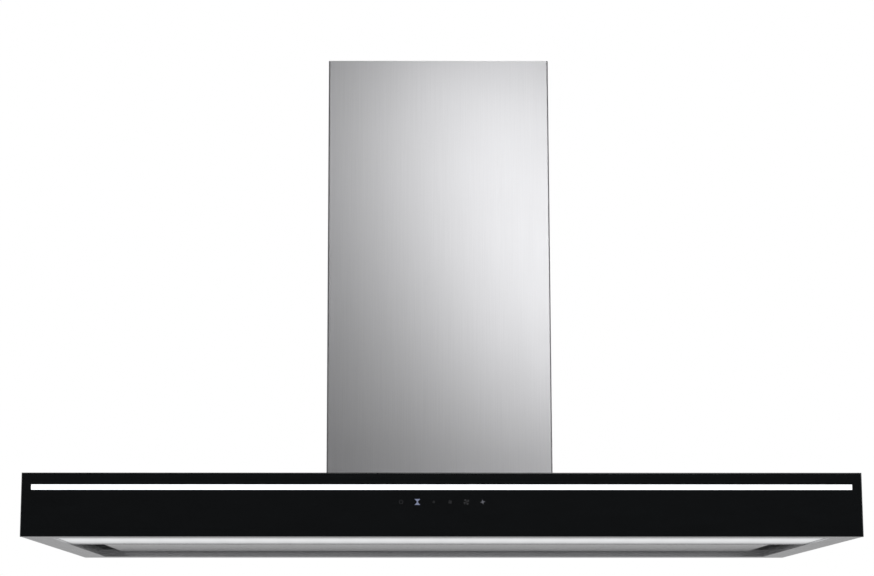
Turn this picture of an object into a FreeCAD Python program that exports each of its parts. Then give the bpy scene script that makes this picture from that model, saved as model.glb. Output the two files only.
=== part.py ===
import FreeCAD, Part
import math
import os

# Island range hood, in millimetres.
# Origin: centre of the ceiling plate's top face.  +X is the user's right at the control side,
# +Y points away from the control side, +Z is up.  Everything hangs below Z = 0.

Vector = FreeCAD.Vector

# ---------------------------------------------------------------------------------------------
# Driving dimensions
# ---------------------------------------------------------------------------------------------

# overall
body_width = 1200.0
body_depth = 650.0
body_height = 91.0
hood_drop = 745.0            # ceiling to the underside, with the chimney drawn in
chimney_width = 340.0
chimney_depth = 340.0
height_travel = 250.0        # how far the chimney and its frame draw out

# body sheet metal
body_sheet = 1.0
bend_radius = 1.0
rail_width = 40.0            # flat border round the underside, glass included at the front
rail_upstand = 12.0          # inner fold of the border
deck_lip = 8.0               # fold of the top panel inside the walls

# glass front
glass_thickness = 6.0
glass_chamfer = 0.6
glass_bond = 0.5             # adhesive pad between glass and trim
glass_gap = 0.2
trim_edge = 1.5              # metal edge seen beside the glass
trim_sheet = 1.0
trim_flange = 9.0

# lit line in the glass
light_bar_length = 1172.0
light_bar_height = 7.4
light_bar_drop = 18.9        # glass top to the middle of the line
light_bar_clear = 0.1
light_bar_sink = 0.2         # the line's face behind the glass face
light_base_height = 13.0
light_base_depth = 2.4
channel_height = 20.0
channel_depth = 14.0
channel_wall = 1.5
led_board_height = 12.0
board_thickness = 1.6
led_size = 3.0
led_height = 0.9
light_bar_leds = 36

# touch controls
touch_drop = 40.0            # glass top to the row of keys
touch_key_pitch = 23.3
touch_keys = 6
touch_board_width = 160.0
touch_board_height = 18.0
touch_key_size = 12.0
touch_pad_height = 0.5
carrier_wall = 1.5
carrier_depth = 10.0

# work light behind the front border
work_light_depth = 192.0     # glass border to the divider
work_light_rise = 2.0        # diffuser face above the underside
work_light_thickness = 3.0
tray_height = 20.0
tray_sheet = 1.0
tray_gap = 0.5
tray_rim = 9.0
work_board_width = 18.0
work_board_count = 3
work_leds_per_board = 24

# divider between the work light and the suction panel
divider_sheet = 1.0
divider_flange = 14.0

# suction panel
panel_side_gap = 30.0        # air gap at the sides and back
panel_front_gap = 1.5
panel_recess = 8.0
panel_sheet = 1.0
panel_edge = 12.0            # turned-up edge
stiffener_width = 30.0
stiffener_height = 12.0
stiffener_inset = 70.0

# suction panel hinge and catch
hinge_x = 380.0
hinge_inset = 5.0            # axis in from the panel's back edge
hinge_height = 28.0          # axis above the underside
hinge_pin_radius = 2.5
hinge_pin_head = 4.2
hinge_clear = 0.05
hinge_ear = 2.5
hinge_ear_gap = 0.3
hinge_ear_radius = 6.0
catch_x = 400.0
catch_width = 42.0
catch_depth = 16.0
catch_height = 11.0
catch_gap = 0.4
strike_sheet = 1.5
strike_rise = 6.0            # strike's top above the panel's turned-up edge

# grease filters
shelf_height = 45.0          # filter shelf above the underside
shelf_sheet = 1.0
shelf_collar = 12.0
filter_count = 3
filter_spacing = 28.0        # steel left between two filters
filter_end_margin = 26.0     # shelf left in front of and behind a filter
filter_gap = 1.0
filter_thickness = 10.0
filter_rail = 15.0
filter_front_rail = 28.0
filter_skin = 1.0            # mesh set in from each face of the frame
tab_width = 20.0
tab_length = 6.0
tab_height = 3.0
latch_width = 30.0
latch_length = 16.0
latch_height = 5.5
latch_travel = 5.0
latch_bolt_width = 12.0
latch_bolt_length = 5.0
latch_bolt_height = 3.0
latch_knob_width = 24.0
latch_knob_length = 12.0
latch_knob_height = 8.0
latch_wall = 2.5
latch_clear = 0.4

# chimney covers
cover_sheet = 0.8
cover_radius = 2.5
cover_step = 5.0             # outer cover's face to inner cover's face
cover_top_gap = 2.0          # outer cover's top below the ceiling
inner_cover_length = 400.0
inner_cover_top = 0.5
seam_gap = 0.3
seam_tongue = 15.0
hang_flange_width = 160.0
hang_flange_depth = 13.0
cover_screw_radius = 1.5
cover_screw_head = 3.0
cover_screw_head_height = 1.8
cover_screw_length = 3.6

# support frame
frame_sheet = 2.0
frame_leg = 25.0
frame_foot = 30.0
frame_foot_thickness = 3.0
frame_play = 0.5             # between upper and lower angles
plate_play = 1.2             # ceiling plate inside the inner cover
angle_play = 1.0             # upper angles in from the ceiling plate's edge
plate_thickness = 3.0
ceiling_hole_radius = 4.5
ceiling_hole_inset = 35.5    # from the plate's front and back edges
ceiling_hole_margin = 18.0   # from the duct opening
duct_opening_margin = 15.0
cable_hole_radius = 8.0      # in the ceiling plate, over the cable gland
lower_angle_top = 120.0      # below the ceiling
upper_angle_length = 480.0
bolt_radius = 3.0
bolt_head = 6.5
bolt_head_height = 1.6
bolt_nut = 5.0
bolt_nut_height = 4.5
bolt_clear = 0.3
slot_clear = 0.5
clamp_bolt_spacing = 40.0
clamp_bolt_drop = 30.0       # first clamp bolt below the lower angle's top
mounting_tab_height = 24.0
mounting_tab_width = 60.0

# blower
wheel_radius = 74.0
wheel_half_width = 52.0
wheel_blades = 36
wheel_blade_depth = 14.0
wheel_blade_thickness = 1.0
wheel_disc_x = 20.0
wheel_disc_thickness = 2.0
wheel_ring_width = 4.0
hub_radius = 11.0
hub_length = 18.0
tongue_gap = 8.0
volute_growth = 10.0
scroll_half_width = 62.0
scroll_wall = 2.5
inlet_radius = 60.0
inlet_lip = 5.0
blower_clear = 5.0
blower_sheet = 1.0
blower_throat = 31.5         # straight outlet above the scroll
blower_flange = 13.0
blower_flange_length = 150.0
blower_floor_gap = 22.0      # scroll above the mounting plate
air_opening_margin = 10.0

# motor
motor_radius = 44.0
motor_length = 62.0
motor_wall = 1.5
motor_disc_gap = 5.0
stator_inner = 26.5
stator_length = 34.0
rotor_gap = 0.5
shaft_radius = 4.0
bearing_radius = 11.0
bearing_width = 7.0
bearing_clear = 0.03
shield_thickness = 3.0
arm_width = 14.0
arm_count = 3
bush_radius = 6.0
bush_length = 5.0

# outlet
transition_height = 50.0
transition_wall = 2.0
collar_radius = 75.0
collar_length = 60.0
collar_wall = 2.0
flap_height = 14.0           # flap pin above the collar's foot
flap_thickness = 1.2
flap_clear = 0.6
flap_ledge = 2.5
flap_pin_radius = 1.5
flap_pin_clear = 0.06
knuckle_radius = 3.2
knuckle_length = 22.0
knuckle_gap = 1.0

# electrics
control_box_width = 210.0
control_box_depth = 96.0
control_box_height = 42.0
control_box_wall = 1.2
control_box_x = -290.0
gland_radius = 11.0
gland_thread_radius = 8.0
gland_bore = 4.5
gland_height = 16.0
gland_nut_height = 5.0

# ---------------------------------------------------------------------------------------------
# Places worked out from the driving dimensions
# ---------------------------------------------------------------------------------------------

half_width = body_width / 2
glass_y = -body_depth / 2
wall_y = glass_y + glass_thickness + glass_bond + trim_sheet
back_y = body_depth / 2
under_z = -hood_drop
deck_z = under_z + body_height
deck_under_z = deck_z - body_sheet

rail_x = half_width - rail_width
rail_front_y = glass_y + rail_width
rail_back_y = back_y - rail_width

glass_half = half_width - trim_edge - glass_gap
glass_top_z = deck_z - trim_edge - glass_gap
glass_back_y = glass_y + glass_thickness
light_bar_z = glass_top_z - light_bar_drop
touch_z = glass_top_z - touch_drop

divider_y = rail_front_y + work_light_depth
shelf_z = under_z + shelf_height
shelf_top_z = shelf_z + shelf_sheet

panel_x = rail_x - panel_side_gap
panel_front_y = divider_y + divider_sheet + panel_front_gap
panel_back_y = rail_back_y - panel_side_gap
panel_z = under_z + panel_recess
panel_edge_z = panel_z + panel_edge
hinge_y = panel_back_y - hinge_inset
hinge_z = under_z + hinge_height

filter_pitch = 2 * rail_x / filter_count
filter_width = filter_pitch - filter_spacing
filter_front_y = divider_y + divider_sheet + filter_end_margin
filter_back_y = rail_back_y - filter_end_margin
filter_top_z = shelf_z + filter_thickness

chimney_x = chimney_width / 2
chimney_y = chimney_depth / 2
inner_x = chimney_x - cover_step
inner_y = chimney_y - cover_step
plate_x = inner_x - cover_sheet - plate_play
plate_y = inner_y - cover_sheet - plate_play
upper_x = plate_x - angle_play
upper_y = plate_y - angle_play
lower_x = upper_x - frame_sheet - frame_play
lower_y = upper_y - frame_sheet - frame_play
mounting_z = deck_z + plate_thickness
mounting_x = chimney_x - cover_sheet
mounting_y = chimney_y - cover_sheet - plate_play
clamp_z = -lower_angle_top - clamp_bolt_drop

duct_opening = collar_radius + duct_opening_margin
ceiling_hole_x = duct_opening + ceiling_hole_margin
ceiling_hole_y = plate_y - ceiling_hole_inset

tongue_radius = wheel_radius + tongue_gap
volute_y = -1.5 * volute_growth
volute_right_y = volute_y + tongue_radius + 3 * volute_growth
volute_z = mounting_z + blower_floor_gap + scroll_wall + tongue_radius + volute_growth
blower_half = tongue_radius + 1.5 * volute_growth + scroll_wall + blower_clear
blower_top_z = volute_z + tongue_radius + blower_throat
air_opening = blower_half - air_opening_margin
collar_z = blower_top_z + transition_height
collar_top_z = collar_z + collar_length
flap_z = collar_z + flap_height

motor_right_x = wheel_disc_x - motor_disc_gap
motor_left_x = motor_right_x - motor_length
arm_left_x = -(scroll_half_width + scroll_wall + bush_length + shield_thickness)

gland_x = blower_flange_length / 4
gland_y = -0.5 * (blower_half + blower_flange + mounting_y)


# ---------------------------------------------------------------------------------------------
# Shape helpers
# ---------------------------------------------------------------------------------------------

def box(x0, x1, y0, y1, z0, z1):
    return Part.makeBox(x1 - x0, y1 - y0, z1 - z0, Vector(x0, y0, z0))


def slab(half_x, half_y, z0, z1):
    return box(-half_x, half_x, -half_y, half_y, z0, z1)


def rod_x(x0, x1, y, z, radius):
    return Part.makeCylinder(radius, x1 - x0, Vector(x0, y, z), Vector(1, 0, 0))


def rod_y(x, y0, y1, z, radius):
    return Part.makeCylinder(radius, y1 - y0, Vector(x, y0, z), Vector(0, 1, 0))


def rod_z(x, y, z0, z1, radius):
    return Part.makeCylinder(radius, z1 - z0, Vector(x, y, z0), Vector(0, 0, 1))


def nut_z(x, y, z0, z1, radius):
    """A hexagonal nut about a vertical axis."""
    corners = []
    for i in range(7):
        angle = math.radians(60 * i)
        corners.append(Vector(x + radius * math.cos(angle), y + radius * math.sin(angle), z0))
    return Part.Face(Part.makePolygon(corners)).extrude(Vector(0, 0, z1 - z0))


def prism(points, z0, z1):
    """A vertical prism on a closed outline of (x, y) points."""
    corners = [Vector(x, y, z0) for x, y in points]
    return Part.Face(Part.makePolygon(corners + [corners[0]])).extrude(Vector(0, 0, z1 - z0))


def rounded_slab(half_x, half_y, radius, z0, z1):
    block = slab(half_x, half_y, z0, z1)
    upright = [e for e in block.Edges if abs(e.tangentAt(e.FirstParameter).z) > 0.9]
    return block.makeFillet(radius, upright)


def mirror_x(shape):
    return shape.mirror(Vector(0, 0, 0), Vector(1, 0, 0))


def mirror_y(shape):
    return shape.mirror(Vector(0, 0, 0), Vector(0, 1, 0))


def pair_x(shape):
    return [shape, mirror_x(shape)]


def four_corners(shape):
    return [shape, mirror_x(shape), mirror_y(shape), mirror_x(mirror_y(shape))]


def evenly(count, length):
    """Middles of equal shares of a length centred on zero."""
    return [length * ((i + 0.5) / count - 0.5) for i in range(count)]


def save(name, shapes):
    """Write one node: one solid, or separate solids of the same kind."""
    if not isinstance(shapes, list):
        shapes = [shapes]
    solids = [solid for shape in shapes for solid in shape.removeSplitter().Solids]
    for solid in solids:
        if not solid.isValid():
            raise ValueError(name + " has an invalid solid")
    Part.Compound(solids).exportStep("parts/" + name + ".step")
    volume = sum(solid.Volume for solid in solids)
    print(name, len(solids), "solids", round(volume / 1000, 2), "cm3")


# ---------------------------------------------------------------------------------------------
# Body shell
# ---------------------------------------------------------------------------------------------

def border_ring():
    """Walls, flat border and inner fold of the body, before it is split at the corners."""
    outer = box(-half_width, half_width, wall_y, back_y, under_z, deck_under_z)
    inside = box(-half_width + body_sheet, half_width - body_sheet, wall_y + body_sheet,
                 back_y - body_sheet, under_z + body_sheet, deck_under_z)
    window = box(-rail_x, rail_x, rail_front_y, rail_back_y, under_z, deck_under_z)
    fold = box(-rail_x - body_sheet, rail_x + body_sheet, rail_front_y - body_sheet,
               rail_back_y + body_sheet, under_z, under_z + rail_upstand)
    return outer.cut(inside).fuse(fold).cut(window)


def mitred_quarter(ring, a, b, c, d):
    """One side of the ring between its mitres, with the bend below its wall from a to b rounded."""
    side = ring.common(prism([a, b, c, d], under_z, deck_z))
    middle = Vector((a[0] + b[0]) / 2, (a[1] + b[1]) / 2, under_z)
    bend = [e for e in side.Edges if e.CenterOfMass.distanceToPoint(middle) < 0.01]
    return side.makeFillet(bend_radius, bend)


def make_body_shell():
    ring = border_ring()
    outer = {"fl": (-half_width, wall_y), "fr": (half_width, wall_y),
             "br": (half_width, back_y), "bl": (-half_width, back_y)}
    inner = {"fl": (-rail_x, rail_front_y), "fr": (rail_x, rail_front_y),
             "br": (rail_x, rail_back_y), "bl": (-rail_x, rail_back_y)}
    front = mitred_quarter(ring, outer["fl"], outer["fr"], inner["fr"], inner["fl"])
    light_slot = box(-light_bar_length / 2 - light_bar_clear, light_bar_length / 2 + light_bar_clear,
                     wall_y, wall_y + body_sheet, light_bar_z - light_base_height / 2 - light_bar_clear,
                     light_bar_z + light_base_height / 2 + light_bar_clear)
    touch_window = box(-touch_board_width / 2 - carrier_wall, touch_board_width / 2 + carrier_wall,
                       wall_y, wall_y + body_sheet, touch_z - touch_board_height / 2 - carrier_wall,
                       touch_z + touch_board_height / 2 + carrier_wall)
    save("front_panel", front.cut(light_slot).cut(touch_window))
    save("back_panel", mitred_quarter(ring, outer["br"], outer["bl"], inner["bl"], inner["br"]))
    save("left_side_panel", mitred_quarter(ring, outer["bl"], outer["fl"], inner["fl"], inner["bl"]))
    save("right_side_panel", mitred_quarter(ring, outer["fr"], outer["br"], inner["br"], inner["fr"]))


def foot_bolt_x():
    return lower_x - frame_foot / 2


def foot_bolt_y():
    return lower_y - frame_foot / 2


def bolt_holes(z0, z1):
    hole = rod_z(foot_bolt_x(), foot_bolt_y(), z0, z1, bolt_radius + bolt_clear)
    return four_corners(hole)


def make_top_panel():
    deck = box(-half_width, half_width, wall_y, back_y, deck_under_z, deck_z)
    lip_out = box(-half_width + body_sheet, half_width - body_sheet, wall_y + body_sheet,
                  back_y - body_sheet, deck_under_z - deck_lip, deck_under_z)
    lip_in = box(-half_width + 2 * body_sheet, half_width - 2 * body_sheet, wall_y + 2 * body_sheet,
                 back_y - 2 * body_sheet, deck_under_z - deck_lip, deck_under_z)
    panel = deck.fuse(lip_out.cut(lip_in))
    panel = panel.cut(slab(air_opening, air_opening, deck_under_z, deck_z))
    panel = panel.cut(rod_z(gland_x, gland_y, deck_under_z, deck_z, gland_thread_radius))
    for hole in bolt_holes(deck_under_z, deck_z):
        panel = panel.cut(hole)
    save("top_panel", panel)


def make_divider_bar():
    """Upright sheet between the work light and the suction panel, folded back under the shelf."""
    end = half_width - body_sheet
    web = box(-rail_x, rail_x, divider_y, divider_y + divider_sheet, under_z + body_sheet, shelf_z)
    ends = box(-end, end, divider_y, divider_y + divider_sheet, under_z + rail_upstand, shelf_z)
    fold = box(-end, end, divider_y, divider_y + divider_flange, shelf_z - divider_sheet, shelf_z)
    save("divider_bar", web.fuse(ends).fuse(fold))


# ---------------------------------------------------------------------------------------------
# Glass front
# ---------------------------------------------------------------------------------------------

def make_front_glass():
    glass = box(-glass_half, glass_half, glass_y, glass_back_y, under_z, glass_top_z)
    rim = [e for e in glass.Edges if abs(e.CenterOfMass.y - glass_y) < 0.01]
    glass = glass.makeChamfer(glass_chamfer, rim)
    half = light_bar_length / 2 + light_bar_clear
    slot = box(-half, half, glass_y, glass_back_y, light_bar_z - light_bar_height / 2 - light_bar_clear,
               light_bar_z + light_bar_height / 2 + light_bar_clear)
    save("front_glass", glass.cut(slot))


def make_glass_trim():
    """Thin metal edge round three sides of the glass, with a flange behind it."""
    block = box(-half_width, half_width, glass_y, wall_y, under_z, deck_z)
    pocket = box(-half_width + trim_edge, half_width - trim_edge, glass_y, wall_y - trim_sheet,
                 under_z, deck_z - trim_edge)
    window = box(-half_width + trim_flange, half_width - trim_flange, glass_y, wall_y,
                 under_z, deck_z - trim_flange)
    save("glass_trim", block.cut(pocket).cut(window))


def make_light_bar():
    half = light_bar_length / 2
    nose = box(-half, half, glass_y + light_bar_sink, glass_back_y,
               light_bar_z - light_bar_height / 2, light_bar_z + light_bar_height / 2)
    base = box(-half, half, glass_back_y, glass_back_y + light_base_depth,
               light_bar_z - light_base_height / 2, light_bar_z + light_base_height / 2)
    save("light_bar_diffuser", nose.fuse(base))
    channel_y = wall_y + body_sheet
    web_y = channel_y + channel_depth
    block = box(-half, half, channel_y, web_y, light_bar_z - channel_height / 2,
                light_bar_z + channel_height / 2)
    hollow = box(-half, half, channel_y, web_y - channel_wall,
                 light_bar_z - channel_height / 2 + channel_wall,
                 light_bar_z + channel_height / 2 - channel_wall)
    save("light_bar_channel", block.cut(hollow))
    board_y = web_y - channel_wall
    board = box(-half, half, board_y - board_thickness, board_y,
                light_bar_z - led_board_height / 2, light_bar_z + led_board_height / 2)
    pieces = [board]
    for x in evenly(light_bar_leds, light_bar_length):
        pieces.append(box(x - led_size / 2, x + led_size / 2, board_y - board_thickness - led_height,
                          board_y - board_thickness, light_bar_z - led_size / 2, light_bar_z + led_size / 2))
    save("light_bar_board", pieces)


def make_touch_controls():
    half = touch_board_width / 2
    low = touch_z - touch_board_height / 2
    high = touch_z + touch_board_height / 2
    front = glass_back_y + touch_pad_height
    pieces = [box(-half, half, front, front + board_thickness, low, high)]
    for x in evenly(touch_keys, touch_keys * touch_key_pitch):
        pad = touch_key_size / 2
        pieces.append(box(x - pad, x + pad, glass_back_y, front, touch_z - pad, touch_z + pad))
    save("touch_board", pieces)
    carrier = box(-half - carrier_wall, half + carrier_wall, glass_back_y, glass_back_y + carrier_depth,
                  low - carrier_wall, high + carrier_wall)
    hollow = box(-half, half, glass_back_y, glass_back_y + carrier_depth - carrier_wall, low, high)
    save("touch_carrier", carrier.cut(hollow))


# ---------------------------------------------------------------------------------------------
# Work light
# ---------------------------------------------------------------------------------------------

def make_work_light():
    """Opal panel in a metal tray that drops in from above and rests on the border's folds."""
    x = rail_x - tray_gap
    y0 = rail_front_y + tray_gap
    y1 = divider_y - tray_gap
    z0 = under_z + work_light_rise
    z1 = z0 + tray_height
    tray = box(-x, x, y0, y1, z0, z1)
    tray = tray.cut(box(-x + tray_sheet, x - tray_sheet, y0 + tray_sheet, y1 - tray_sheet,
                        z0, z1 - tray_sheet))
    rim_z = under_z + rail_upstand
    rim = box(-x - tray_rim, x + tray_rim, y0 - tray_rim, y1, rim_z, rim_z + tray_sheet)
    rim = rim.cut(box(-x, x, y0, y1, rim_z, rim_z + tray_sheet))
    save("work_light_tray", tray.fuse(rim))
    save("work_light_diffuser", box(-x + tray_sheet, x - tray_sheet, y0 + tray_sheet, y1 - tray_sheet,
                                    z0, z0 + work_light_thickness))
    pieces = []
    top = z1 - tray_sheet
    length = 2 * (x - tray_sheet)
    for y in evenly(work_board_count, y1 - y0):
        middle = (y0 + y1) / 2 + y
        pieces.append(box(-length / 2, length / 2, middle - work_board_width / 2,
                          middle + work_board_width / 2, top - board_thickness, top))
        for led_x in evenly(work_leds_per_board, length):
            pieces.append(box(led_x - led_size / 2, led_x + led_size / 2, middle - led_size / 2,
                              middle + led_size / 2, top - board_thickness - led_height,
                              top - board_thickness))
    save("work_light_boards", pieces)


# ---------------------------------------------------------------------------------------------
# Suction panel, its hinges and catches
# ---------------------------------------------------------------------------------------------

def make_suction_panel():
    block = box(-panel_x, panel_x, panel_front_y, panel_back_y, panel_z, panel_edge_z)
    rim = [e for e in block.Edges if abs(e.CenterOfMass.z - panel_z) < 0.01]
    block = block.makeFillet(bend_radius, rim)
    hollow = box(-panel_x + panel_sheet, panel_x - panel_sheet, panel_front_y + panel_sheet,
                 panel_back_y - panel_sheet, panel_z + panel_sheet, panel_edge_z)
    save("suction_panel", block.cut(hollow))


def stiffener(x):
    """A top-hat rail from front to back on the panel's upper side."""
    floor = panel_z + panel_sheet
    y0 = panel_front_y + panel_sheet
    y1 = panel_back_y - panel_sheet
    inner = stiffener_width / 2 - panel_sheet
    hat = box(x - stiffener_width / 2, x + stiffener_width / 2, y0, y1, floor, floor + stiffener_height)
    hat = hat.cut(box(x - inner, x + inner, y0, y1, floor, floor + stiffener_height - panel_sheet))
    return hat


def make_panel_fittings():
    save("panel_stiffeners", [stiffener(x) for x in (stiffener_inset - panel_x, 0.0,
                                                     panel_x - stiffener_inset)])
    floor = panel_z + panel_sheet
    strike_y0 = panel_front_y + panel_sheet
    strike_y1 = strike_y0 + catch_depth
    strike_top = panel_edge_z + strike_rise
    strike = box(catch_x - catch_width / 2, catch_x + catch_width / 2, strike_y0, strike_y1,
                 floor, strike_top)
    strike = strike.cut(box(catch_x - catch_width / 2, catch_x + catch_width / 2,
                            strike_y0 + strike_sheet, strike_y1, floor + strike_sheet,
                            strike_top - strike_sheet))
    save("catch_strikes", pair_x(strike))
    magnet_z = strike_top + catch_gap
    magnet = box(catch_x - catch_width / 2, catch_x + catch_width / 2, divider_y + divider_sheet,
                 strike_y1, magnet_z, magnet_z + catch_height)
    save("catch_magnets", pair_x(magnet))


def hinge_plate(x0, x1, low, high):
    """An upright plate that holds the hinge pin."""
    web = box(x0, x1, hinge_y - hinge_ear_radius, hinge_y + hinge_ear_radius, low, high)
    return web.fuse(rod_x(x0, x1, hinge_y, hinge_z, hinge_ear_radius))


def make_panel_hinges():
    """Each hinge is a fixed ear on the shelf between two ears on the panel, on one pin."""
    ear = hinge_ear / 2
    fixed = hinge_plate(hinge_x - ear, hinge_x + ear, hinge_z, shelf_z - shelf_sheet)
    pad = box(hinge_x - 5 * ear, hinge_x + 5 * ear, hinge_y - hinge_ear_radius,
              hinge_y + hinge_ear_radius, shelf_z - shelf_sheet, shelf_z)
    fixed = fixed.fuse(pad).cut(rod_x(hinge_x - ear, hinge_x + ear, hinge_y, hinge_z, hinge_pin_radius))
    save("panel_hinge_brackets", pair_x(fixed))
    near = ear + hinge_ear_gap
    far = near + hinge_ear
    floor = panel_z + panel_sheet
    front = hinge_y - 3 * hinge_ear_radius
    leaf = box(hinge_x - far, hinge_x + far, front, panel_back_y - panel_sheet, floor, floor + panel_sheet)
    for x0, x1 in ((hinge_x - far, hinge_x - near), (hinge_x + near, hinge_x + far)):
        ear_plate = box(x0, x1, front, hinge_y, floor, hinge_z)
        leaf = leaf.fuse(ear_plate).fuse(rod_x(x0, x1, hinge_y, hinge_z, hinge_ear_radius))
    leaf = leaf.common(box(hinge_x - far, hinge_x + far, front, panel_back_y + hinge_ear_radius,
                           floor, hinge_z + hinge_ear_radius))
    hole = hinge_pin_radius + hinge_clear
    leaf = leaf.cut(rod_x(hinge_x - far, hinge_x + far, hinge_y, hinge_z, hole))
    save("panel_hinge_leaves", pair_x(leaf))
    pin = rod_x(hinge_x - far - hinge_ear, hinge_x + far + hinge_ear_gap, hinge_y, hinge_z,
                hinge_pin_radius)
    head = rod_x(hinge_x + far + hinge_ear_gap, hinge_x + far + hinge_ear, hinge_y, hinge_z,
                 hinge_pin_head)
    save("panel_hinge_pins", pair_x(pin.fuse(head)))


# ---------------------------------------------------------------------------------------------
# Grease filters
# ---------------------------------------------------------------------------------------------

def filter_middles():
    return evenly(filter_count, filter_pitch * filter_count)


def tab_places(x):
    return (x - filter_width / 4, x + filter_width / 4)


def make_filter_shelf():
    """Plenum floor with a collar round each filter opening and slots for tabs and bolts."""
    end = half_width - body_sheet
    shelf = box(-end, end, divider_y, back_y - body_sheet, shelf_z, shelf_top_z)
    top = shelf_z + shelf_collar
    for x in filter_middles():
        half = filter_width / 2 + filter_gap
        y0 = filter_front_y - filter_gap
        y1 = filter_back_y + filter_gap
        shelf = shelf.fuse(box(x - half - shelf_sheet, x + half + shelf_sheet, y0 - shelf_sheet,
                               y1 + shelf_sheet, shelf_z, top))
        shelf = shelf.cut(box(x - half, x + half, y0, y1, shelf_z, top))
        bolt = latch_bolt_width / 2 + latch_clear
        shelf = shelf.cut(box(x - bolt, x + bolt, y0 - shelf_sheet, y0, shelf_top_z, top - latch_clear))
        for tab_x in tab_places(x):
            tab = tab_width / 2 + latch_clear
            shelf = shelf.cut(box(tab_x - tab, tab_x + tab, y1, y1 + shelf_sheet, shelf_top_z,
                                  top - latch_clear))
    save("filter_shelf", shelf)


def latch_pocket(x):
    """Room for the latch in the filter's front rail, with its bolt hole and knob slot."""
    half = latch_width / 2 + latch_clear
    y0 = filter_front_y + latch_wall
    y1 = y0 + latch_length + latch_travel + latch_clear
    z0 = shelf_z + filter_skin
    room = box(x - half, x + half, y0, y1, z0, z0 + latch_height + latch_clear)
    bolt = latch_bolt_width / 2 + latch_clear
    bolt_z = z0 + latch_clear
    hole = box(x - bolt, x + bolt, filter_front_y, y0, bolt_z, bolt_z + latch_bolt_height + latch_clear)
    knob = latch_knob_width / 2 + latch_clear
    slot = box(x - knob, x + knob, y0, y0 + latch_length + latch_travel, shelf_z, z0)
    return room.fuse(hole).fuse(slot)


def make_filters():
    frames = []
    meshes = []
    for x in filter_middles():
        half = filter_width / 2
        frame = box(x - half, x + half, filter_front_y, filter_back_y, shelf_z, filter_top_z)
        mesh = box(x - half + filter_rail, x + half - filter_rail, filter_front_y + filter_front_rail,
                   filter_back_y - filter_rail, shelf_z, filter_top_z)
        frame = frame.cut(mesh).cut(latch_pocket(x))
        tab_z = shelf_top_z
        for tab_x in tab_places(x):
            frame = frame.fuse(box(tab_x - tab_width / 2, tab_x + tab_width / 2, filter_back_y,
                                   filter_back_y + tab_length, tab_z, tab_z + tab_height))
        frames.append(frame)
        flat = box(x - half, x + half, filter_front_y, filter_back_y, shelf_z + filter_skin,
                   filter_top_z - filter_skin)
        meshes.append(mesh.common(flat))
    save("filter_frames", frames)
    save("filter_meshes", meshes)


def make_filter_latches():
    names = ("left_filter_latch", "middle_filter_latch", "right_filter_latch")
    play = latch_clear / 2
    for name, x in zip(names, filter_middles()):
        y0 = filter_front_y + latch_wall + play
        z0 = shelf_z + filter_skin + play
        block = box(x - latch_width / 2, x + latch_width / 2, y0, y0 + latch_length, z0,
                    z0 + latch_height - play)
        bolt_z = shelf_z + filter_skin + latch_clear + play
        bolt = box(x - latch_bolt_width / 2, x + latch_bolt_width / 2,
                   filter_front_y - latch_bolt_length, y0, bolt_z, bolt_z + latch_bolt_height)
        knob_y = y0 + play
        knob = box(x - latch_knob_width / 2, x + latch_knob_width / 2, knob_y,
                   knob_y + latch_knob_length, z0 - latch_knob_height, z0)
        knob_rim = [e for e in knob.Edges if abs(e.CenterOfMass.z - z0 + latch_knob_height) < 0.01]
        knob = knob.makeFillet(bend_radius, knob_rim)
        save(name, block.fuse(bolt).fuse(knob))


# ---------------------------------------------------------------------------------------------
# Support frame
# ---------------------------------------------------------------------------------------------

def make_ceiling_plate():
    plate = slab(plate_x, plate_y, -plate_thickness, 0)
    plate = plate.cut(slab(duct_opening, duct_opening, -plate_thickness, 0))
    holes = four_corners(rod_z(ceiling_hole_x, ceiling_hole_y, -plate_thickness, 0, ceiling_hole_radius))
    holes += four_corners(rod_z(upper_foot_x(), upper_foot_y(), -plate_thickness, 0,
                                bolt_radius + bolt_clear))
    for y in (hang_screw_y(), -hang_screw_y()):
        for x in (-hang_flange_width / 4, hang_flange_width / 4):
            holes.append(rod_z(x, y, -plate_thickness, 0, cover_screw_radius))
    holes.append(rod_z(gland_x, gland_y, -plate_thickness, 0, cable_hole_radius))
    for hole in holes:
        plate = plate.cut(hole)
    save("ceiling_plate", plate)


def upper_foot_x():
    return upper_x - frame_foot / 2


def upper_foot_y():
    return upper_y - frame_foot / 2


def hang_screw_y():
    return inner_y - cover_sheet - hang_flange_depth / 2


def angle_leg(x, y, z0, z1):
    """One equal-leg angle with its corner at (x, y), legs running inwards."""
    leg_x = box(x - frame_leg, x, y - frame_sheet, y, z0, z1)
    leg_y = box(x - frame_sheet, x, y - frame_leg, y, z0, z1)
    return leg_x.fuse(leg_y)


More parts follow.
